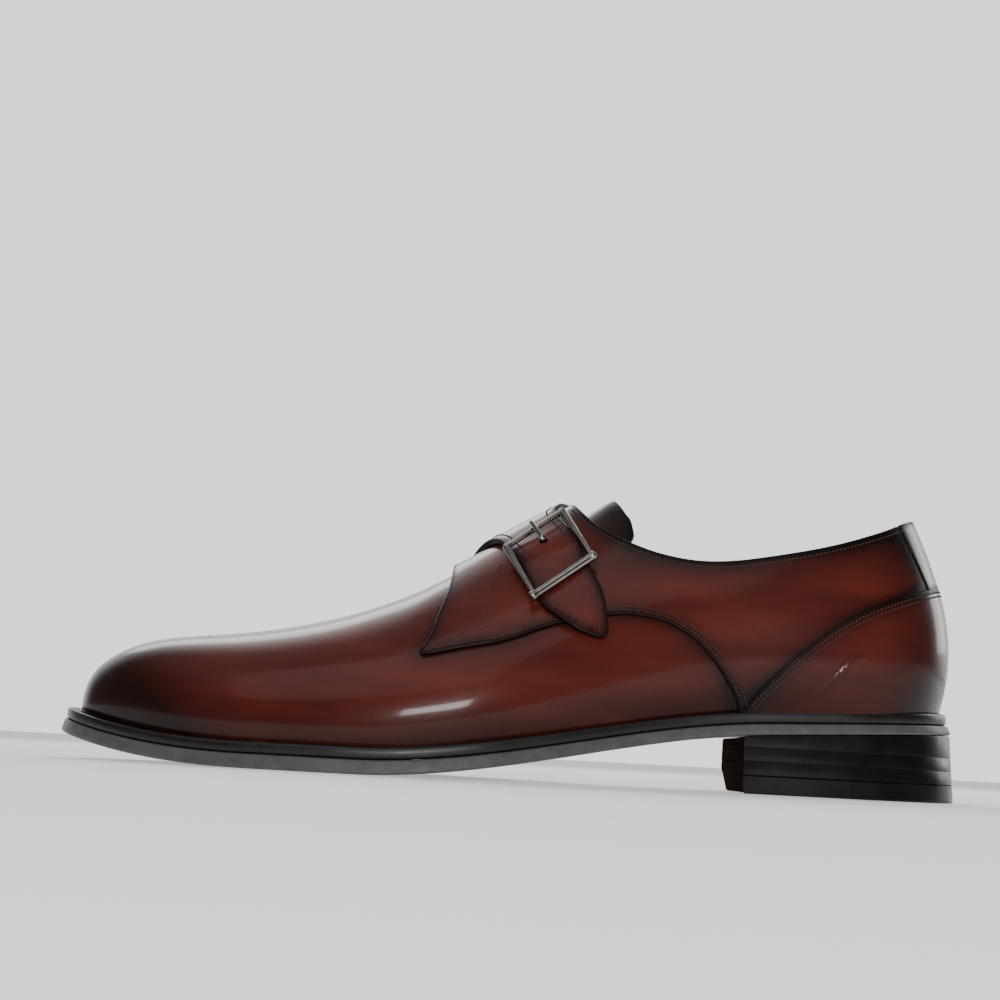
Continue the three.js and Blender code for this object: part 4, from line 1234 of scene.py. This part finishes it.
def wheel_marks():
    """Pressed marks along the top of the welt, as small ridges across it."""
    line = resample(grown(-WELT_INSET - 1.9), 2.3, True)
    out = outward(line)
    ahead = pair(-out[:, 1], out[:, 0])
    across = ((-1.25, -0.15), (-0.6, MARK_HIGH), (0.6, MARK_HIGH), (1.25, -0.15))
    verts, faces = [], []
    for p, d, o in zip(line, ahead, out):
        z = float(welt_top(p[0]))
        s = len(verts)
        for a, h in across:
            for b in (-0.42, 0.0, 0.42):
                verts.append([*(p + o * a + d * b), z + (h if b == 0 else -0.15)])
        faces += [[j, j + 1, j + 4, j + 3] for i in range(3) for j in (s + i * 3, s + i * 3 + 1)]
    return new_object("welt_wheel_marks", np.array(verts) + SHIFT, faces, welt_mat)


welt_piece = join("welt_leather", [welt(), wheel_marks()])
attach(welt_piece, "root")
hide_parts("welt")


def sock():
    ring = plan_loop(lambda x, s: np.full(len(x), -WALL - 2 - FIT), 2.0)
    rings = []
    for d, up in ((0.0, -WELT), (1.7, -0.8), (1.55, -0.15), (1.1, 0.0)):
        p = grown(d, ring)
        rings.append(raised(p, welt_top(p[:, 0]) + up))
    inner = grown(1.1, ring)
    n = len(inner)
    uv, faces = triangles(np.concatenate([inner, lattice((-150, 150), 50, inner, inner, 1.4)]),
                          [(i, (i + 1) % n) for i in range(n)])
    return join("insole_sock", [loft("sock_wall", rings, lining),
                                new_object("sock_top", raised(uv, welt_top(uv[:, 0])), faces, lining)])


insole = sock()
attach(insole, "root")
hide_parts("insole")


# Heel
BREAST = LENGTH / 2 - HEEL_LENGTH
HEEL_HALF = BALL_WIDTH / 3
BREAST_R = (HEEL_HALF ** 2 + BREAST_CURVE ** 2) / (2 * BREAST_CURVE)
BREAST_X = BREAST + BREAST_CURVE - BREAST_R
SEAT_TOP, GROOVE = 20.0, 0.22


def heel_ring(z, shrink):
    extra = HEEL_FLARE * (1 - z / (1.5 * SEAT_HEIGHT)) - shrink
    radius = BREAST_R + shrink
    sides = []
    for s in (-1, 1):
        p = plan_side(margin_fn(extra), s, 8.5, 500)
        front = np.hypot(p[:, 0] - BREAST_X, p[:, 1]) - radius
        i = int(np.argmax(front > 0))
        t = -front[i - 1] / (front[i] - front[i - 1])
        sides.append(np.concatenate([[p[i - 1] + t * (p[i] - p[i - 1])], p[i:]]))
    back = np.concatenate([sides[0], sides[1][-2::-1]])
    s = run_of(back)
    back = on_line(np.linspace(0, s[-1], 190), s, back)
    a = np.linspace(*(math.atan2(back[i, 1], back[i, 0] - BREAST_X) for i in (-1, 0)), 40)[1:-1]
    return np.concatenate([back, pair(BREAST_X + radius * np.cos(a), radius * np.sin(a))])


def heel_block(name, levels, material):
    """levels are (z, shrink) rings from the bottom up; z is a function of x at the seat."""
    rings = []
    for z, shrink in levels:
        p = heel_ring(SEAT_TOP if callable(z) else z, shrink)
        rings.append(raised(p, z(p[:, 0]) if callable(z) else np.full(len(p), z)))
    return loft(name, rings, material, cap=True)


def slice_plane(ob, point, normal):
    """Cuts away what lies on the normal's side of a plane and closes the cut."""
    bm = bmesh.new()
    bm.from_mesh(ob.data)
    geom = bm.verts[:] + bm.edges[:] + bm.faces[:]
    out = bmesh.ops.bisect_plane(bm, geom=geom, plane_co=Vector(point), plane_no=Vector(normal),
                                 clear_outer=True)
    rim = [e for e in out["geom_cut"] if isinstance(e, bmesh.types.BMEdge)]
    bmesh.ops.edgeloop_fill(bm, edges=rim)
    bmesh.ops.recalc_face_normals(bm, faces=bm.faces[:])
    bm.to_mesh(ob.data)
    bm.free()


def sharpen(ob, angle=35):
    """Smooth shading with sharp edges above the angle in degrees."""
    bm = bmesh.new()
    bm.from_mesh(ob.data)
    bmesh.ops.recalc_face_normals(bm, faces=bm.faces[:])
    limit = math.radians(angle)
    for e in bm.edges:
        if len(e.link_faces) == 2 and e.calc_face_angle(0) > limit:
            e.smooth = False
    bm.to_mesh(ob.data)
    bm.free()
    ob.data.polygons.foreach_set("use_smooth", [True] * len(ob.data.polygons))


NOTCH_LOW = np.array([BREAST, HEEL_HALF - NOTCH_WIDTH, 0.0])
NOTCH_BACK = np.array([BREAST + NOTCH_DEPTH, HEEL_HALF, 0.0])
NOTCH_HIGH = np.array([BREAST, HEEL_HALF, NOTCH_HEIGHT])
NOTCH_N = unit(np.cross(NOTCH_BACK - NOTCH_LOW, NOTCH_HIGH - NOTCH_LOW))


def notch(ob):
    slice_plane(ob, (NOTCH_LOW + SHIFT) * MM, -NOTCH_N)


def seat_z(x):
    return underside(x) - FIT + 0.15


stack = heel_block("heel_stack", [
    (TOP_PIECE, 0.35), (TOP_PIECE + 0.25, 0.0), (TOP_PIECE + LIFT - GROOVE, 0.0), (TOP_PIECE + LIFT, 0.16),
    (TOP_PIECE + LIFT + GROOVE, 0.0), (TOP_PIECE + 2 * LIFT - GROOVE, 0.0), (TOP_PIECE + 2 * LIFT, 0.16),
    (TOP_PIECE + 2 * LIFT + GROOVE, 0.0), (lambda x: seat_z(x) - 0.6, 0.0), (lambda x: seat_z(x) - 0.1, 0.25),
    (seat_z, 0.6)], stack_mat)
notch(stack)
sharpen(stack)
by_face(stack, [poly.normal.x < -0.5 for poly in stack.data.polygons], breast_mat)
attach(stack, "root")
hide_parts("heel_lift_1", "heel_lift_2", "heel_lift_3")

SEAM = unit(np.array([-1, TOP_SEAM_SLANT, 0.0]))
SEAM_AT = -(BREAST + TOP_SEAM * HEEL_LENGTH)


def top_piece(name, material, front):
    ob = heel_block(name, [(LIFT_OFF, 0.9), (LIFT_OFF + 0.12, 0.4), (LIFT_OFF + 0.6, 0.0), (2.5, 0.0),
                           (TOP_PIECE - 0.25, 0.0), (TOP_PIECE, 0.3)], material)
    n = SEAM if front else -SEAM
    point = np.array([-SEAM_AT, 0, 0]) + (np.array([FIT * 0.35, 0, 0]) if not front else 0)
    slice_plane(ob, (point + SHIFT) * MM, -n)
    if front:
        notch(ob)
    sharpen(ob)
    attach(ob, "root")
    return ob


top_front = top_piece("heel_top_front", cream_mat, True)
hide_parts("heel_top_piece_front")
top_rear = top_piece("heel_top_rear", rubber_mat, False)
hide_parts("heel_top_piece_rear")
for ob in (top_front, top_rear):
    kinds = []
    for poly in ob.data.polygons:
        notched = abs(poly.normal.dot(Vector(NOTCH_N))) > 0.97
        kinds.append(0 if poly.normal.z < -0.9 else 2 if poly.normal.x < -0.5 or notched else 1)
    by_face(ob, kinds, stack_mat, breast_mat)


nail_spots = [(7, -26.0), (18.5, -26.5), (29.5, -26.5)] + [(12 + 7.2 * i, 26.0) for i in range(5)]
rims = np.concatenate([circle(np.array([BREAST + x, y]), *np.eye(2), 0.85, 12) for x, y in nail_spots])
nails = new_object("heel_nails", raised(rims, np.full(len(rims), 0.025)),
                   np.arange(len(rims)).reshape(-1, 12)[:, ::-1], nail_mat)
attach(nails, "root")


# Buckle: rolled frame with a middle bar under the strap, and the prong
def strap_mid(v, d):
    """Middle of the strap at v with d over its underside, and the normal there."""
    front, rear, room = (np.interp(v, STRAP[::-1, 0], STRAP[::-1, c]) for c in (1, 2, 3))
    k = row_at((front + rear) / 2 * LENGTH)
    return off(k, v, room + d), last_normal(k, v)


def rod(name, path, side, wide, thick, count=14, power=2.0):
    """A steel bar along a path; power above 2 makes its section boxy."""
    path = np.asarray(path)
    run = unit(np.gradient(path, axis=0))
    w = unit(side - run * (side * run).sum(-1, keepdims=True))
    a = 2 * math.pi * (np.arange(count) + 0.5) / count
    rings = path[:, None]
    for axis, size, wave in ((w, wide, np.cos(a)), (np.cross(run, w), thick, np.sin(a))):
        reach = axis * np.broadcast_to(size, len(path))[:, None]
        rings = rings + reach[:, None] * (np.sign(wave) * np.abs(wave) ** (2 / power))[:, None]
    return loft(name, rings, steel, cap=True)


def buckle():
    r = BUCKLE_BAR / 2
    over = STRAP_LEATHER + 3 * FIT + r
    far, far_n = strap_mid(BUCKLE_FAR, over)
    near_p, _ = strap_mid(BUCKLE_NEAR, over)
    mid, up = strap_mid(BUCKLE_MID, -2 * FIT - 0.7)
    arch = (far + near_p) / 2 + up * 0.6
    half = BUCKLE_WIDTH / 2
    side_at = half - r * 0.7
    t = np.linspace(0, 1, 25)[:, None]
    spine = far * (1 - t) ** 2 + arch * 2 * t * (1 - t) + near_p * t * t
    parts = []
    taper = np.linspace(0.95, 0.6, 25)
    for w in (-side_at, side_at):
        parts.append(rod("side", spine + BUCKLE_AXIS * w, BUCKLE_AXIS, r * taper, r * 0.75, 16, 3.2))
    swell = np.array([0.55, 1.0, 1.2, 1.22, 1.12, 1.0])
    along = np.array([0.0, 0.15, 0.5, 1.1, 1.7, 2.2])
    for p, reach, radius in ((near_p, half + 0.6, r * 1.08), (far, half - r * 0.2, r * 0.72)):
        at = np.concatenate([along - reach, np.linspace(-reach + 3, reach - 3, 7), (reach - along)[::-1]])
        size = np.concatenate([swell, np.ones(7), swell[::-1]])
        parts.append(rod("bar", p + BUCKLE_AXIS * at[:, None], up, radius * size, radius * size, 22))
    line = mid + BUCKLE_AXIS * np.linspace(-side_at, side_at, 9)[:, None]
    parts.append(rod("mid", line, up, 0.7, 0.7, 14))
    for w in (-side_at, side_at):
        foot = mid + BUCKLE_AXIS * w - up * 0.3
        head = spine[12] + BUCKLE_AXIS * w
        parts.append(rod("post", [foot, head * 0.95 + foot * 0.05], BUCKLE_AXIS, r * 0.55, 0.85, 12, 3.0))
    ob = join("buckle_frame_steel", parts)
    sharpen(ob, 50)
    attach(ob, "root")
    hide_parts("buckle_frame")
    return far, near_p, far_n


def prong(far, near_p, far_n):
    r = PRONG / 2
    hole, out = strap_mid(PRONG_HOLE, 0)
    top = far + far_n * (BUCKLE_BAR * 0.375 + r + FIT)
    keys = np.array([hole - out * 0.9, hole + out * (STRAP_LEATHER + 0.2),
                     hole + out * (STRAP_LEATHER + r + 0.6) + unit(far - hole) * 1.2, top,
                     top + unit(far - near_p) * 1.7 - far_n * 0.5])
    line = curve_through(keys, 0.35)
    s_line = run_of(line)
    knee = np.exp(-((s_line - s_line[np.argmin(np.linalg.norm(line - keys[2], axis=1))] + 0.6) / 1.1) ** 2)
    ob = rod("buckle_prong_steel", line, BUCKLE_AXIS, r * (0.95 + 0.55 * knee), r * (0.85 + 0.35 * knee), 14)
    sharpen(ob, 50)
    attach(ob, "root")
    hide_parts("buckle_prong")
    # Dark disc of painted shade for the strap hole the prong passes through.
    disc = shade_discs("prong_hole_shade", [strap_mid(PRONG_HOLE, STRAP_LEATHER + 0.06)], 1.5, 24)
    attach(disc, "root")


prong(*buckle())


# Floor, light and camera
def floor_and_light():
    bpy.ops.mesh.primitive_plane_add(size=60.0, location=(0, 0, 0))
    floor = bpy.context.object
    floor.name = "floor"
    floor.data.materials.append(Look(bpy.data.materials.new("paper_floor")).set(
        Base_Color=(0.9, 0.9, 0.9), Roughness=0.85, Specular_IOR_Level=0.1, Emission_Color=(1.0, 1.0, 1.0),
        Emission_Strength=0.3))
    world = bpy.data.worlds.new("studio")
    bpy.context.scene.world = world
    sky = Look(world, "Background")
    side = sky.node("SeparateXYZ", {0: sky.node("TexCoord").outputs["Generated"]}).outputs
    glow = [sky.node("MapRange", {0: side[axis], 1: lo, 2: hi, 3: low, 4: high},
                     interpolation_type="SMOOTHSTEP").outputs[0]
            for axis, lo, hi, low, high in ((1, 0.25, 0.7, 0.11, 1.5), (2, 0.6, 0.95, 0.0, 0.22))]
    sky.set(Color=(1, 1, 1), Strength=sky.maths("ADD", *glow))
    for name, where, aim, size, power in (
            ("key", (-0.1, 0.9, 0.75), (0, 0, 0.05), (1.3, 0.3), 4.5),
            ("side", (0.0, -1.0, 0.24), (0, 0, 0.04), (0.34, 0.10), 3.0),
            ("fill", (-0.3, -1.0, 1.3), (0, 0, 0.04), (1.6, 1.2), 4.8),
            ("back", (0.8, 0.45, 0.4), (0.1, 0, 0.05), (0.3, 0.6), 2.0)):
        data = bpy.data.lights.new(name, "AREA")
        data.shape = "RECTANGLE"
        data.size, data.size_y = size
        data.energy = power
        lamp = bpy.data.objects.new(name, data)
        lamp.location = where
        lamp.rotation_euler = (Vector(aim) - Vector(where)).to_track_quat("-Z", "Y").to_euler()
        bpy.context.scene.collection.objects.link(lamp)


floor_and_light()

CAMERA_AT, CAMERA_AIM, CAMERA_ROLL = (0.002, -0.559, 0.008), (-0.0065, 0.0, 0.0970), 3.0
cam_data = bpy.data.cameras.new("camera")
cam_data.sensor_width = 36.0
cam_data.lens = 57.852
cam_data.clip_start = 0.002
cam = bpy.data.objects.new("camera", cam_data)
bpy.context.scene.collection.objects.link(cam)
cam.location = CAMERA_AT
cam.rotation_mode = "QUATERNION"
look = (Vector(CAMERA_AIM) - Vector(CAMERA_AT)).to_track_quat("-Z", "Y")
cam.rotation_quaternion = look @ Quaternion((0, 0, 1), math.radians(CAMERA_ROLL))
bpy.context.scene.camera = cam
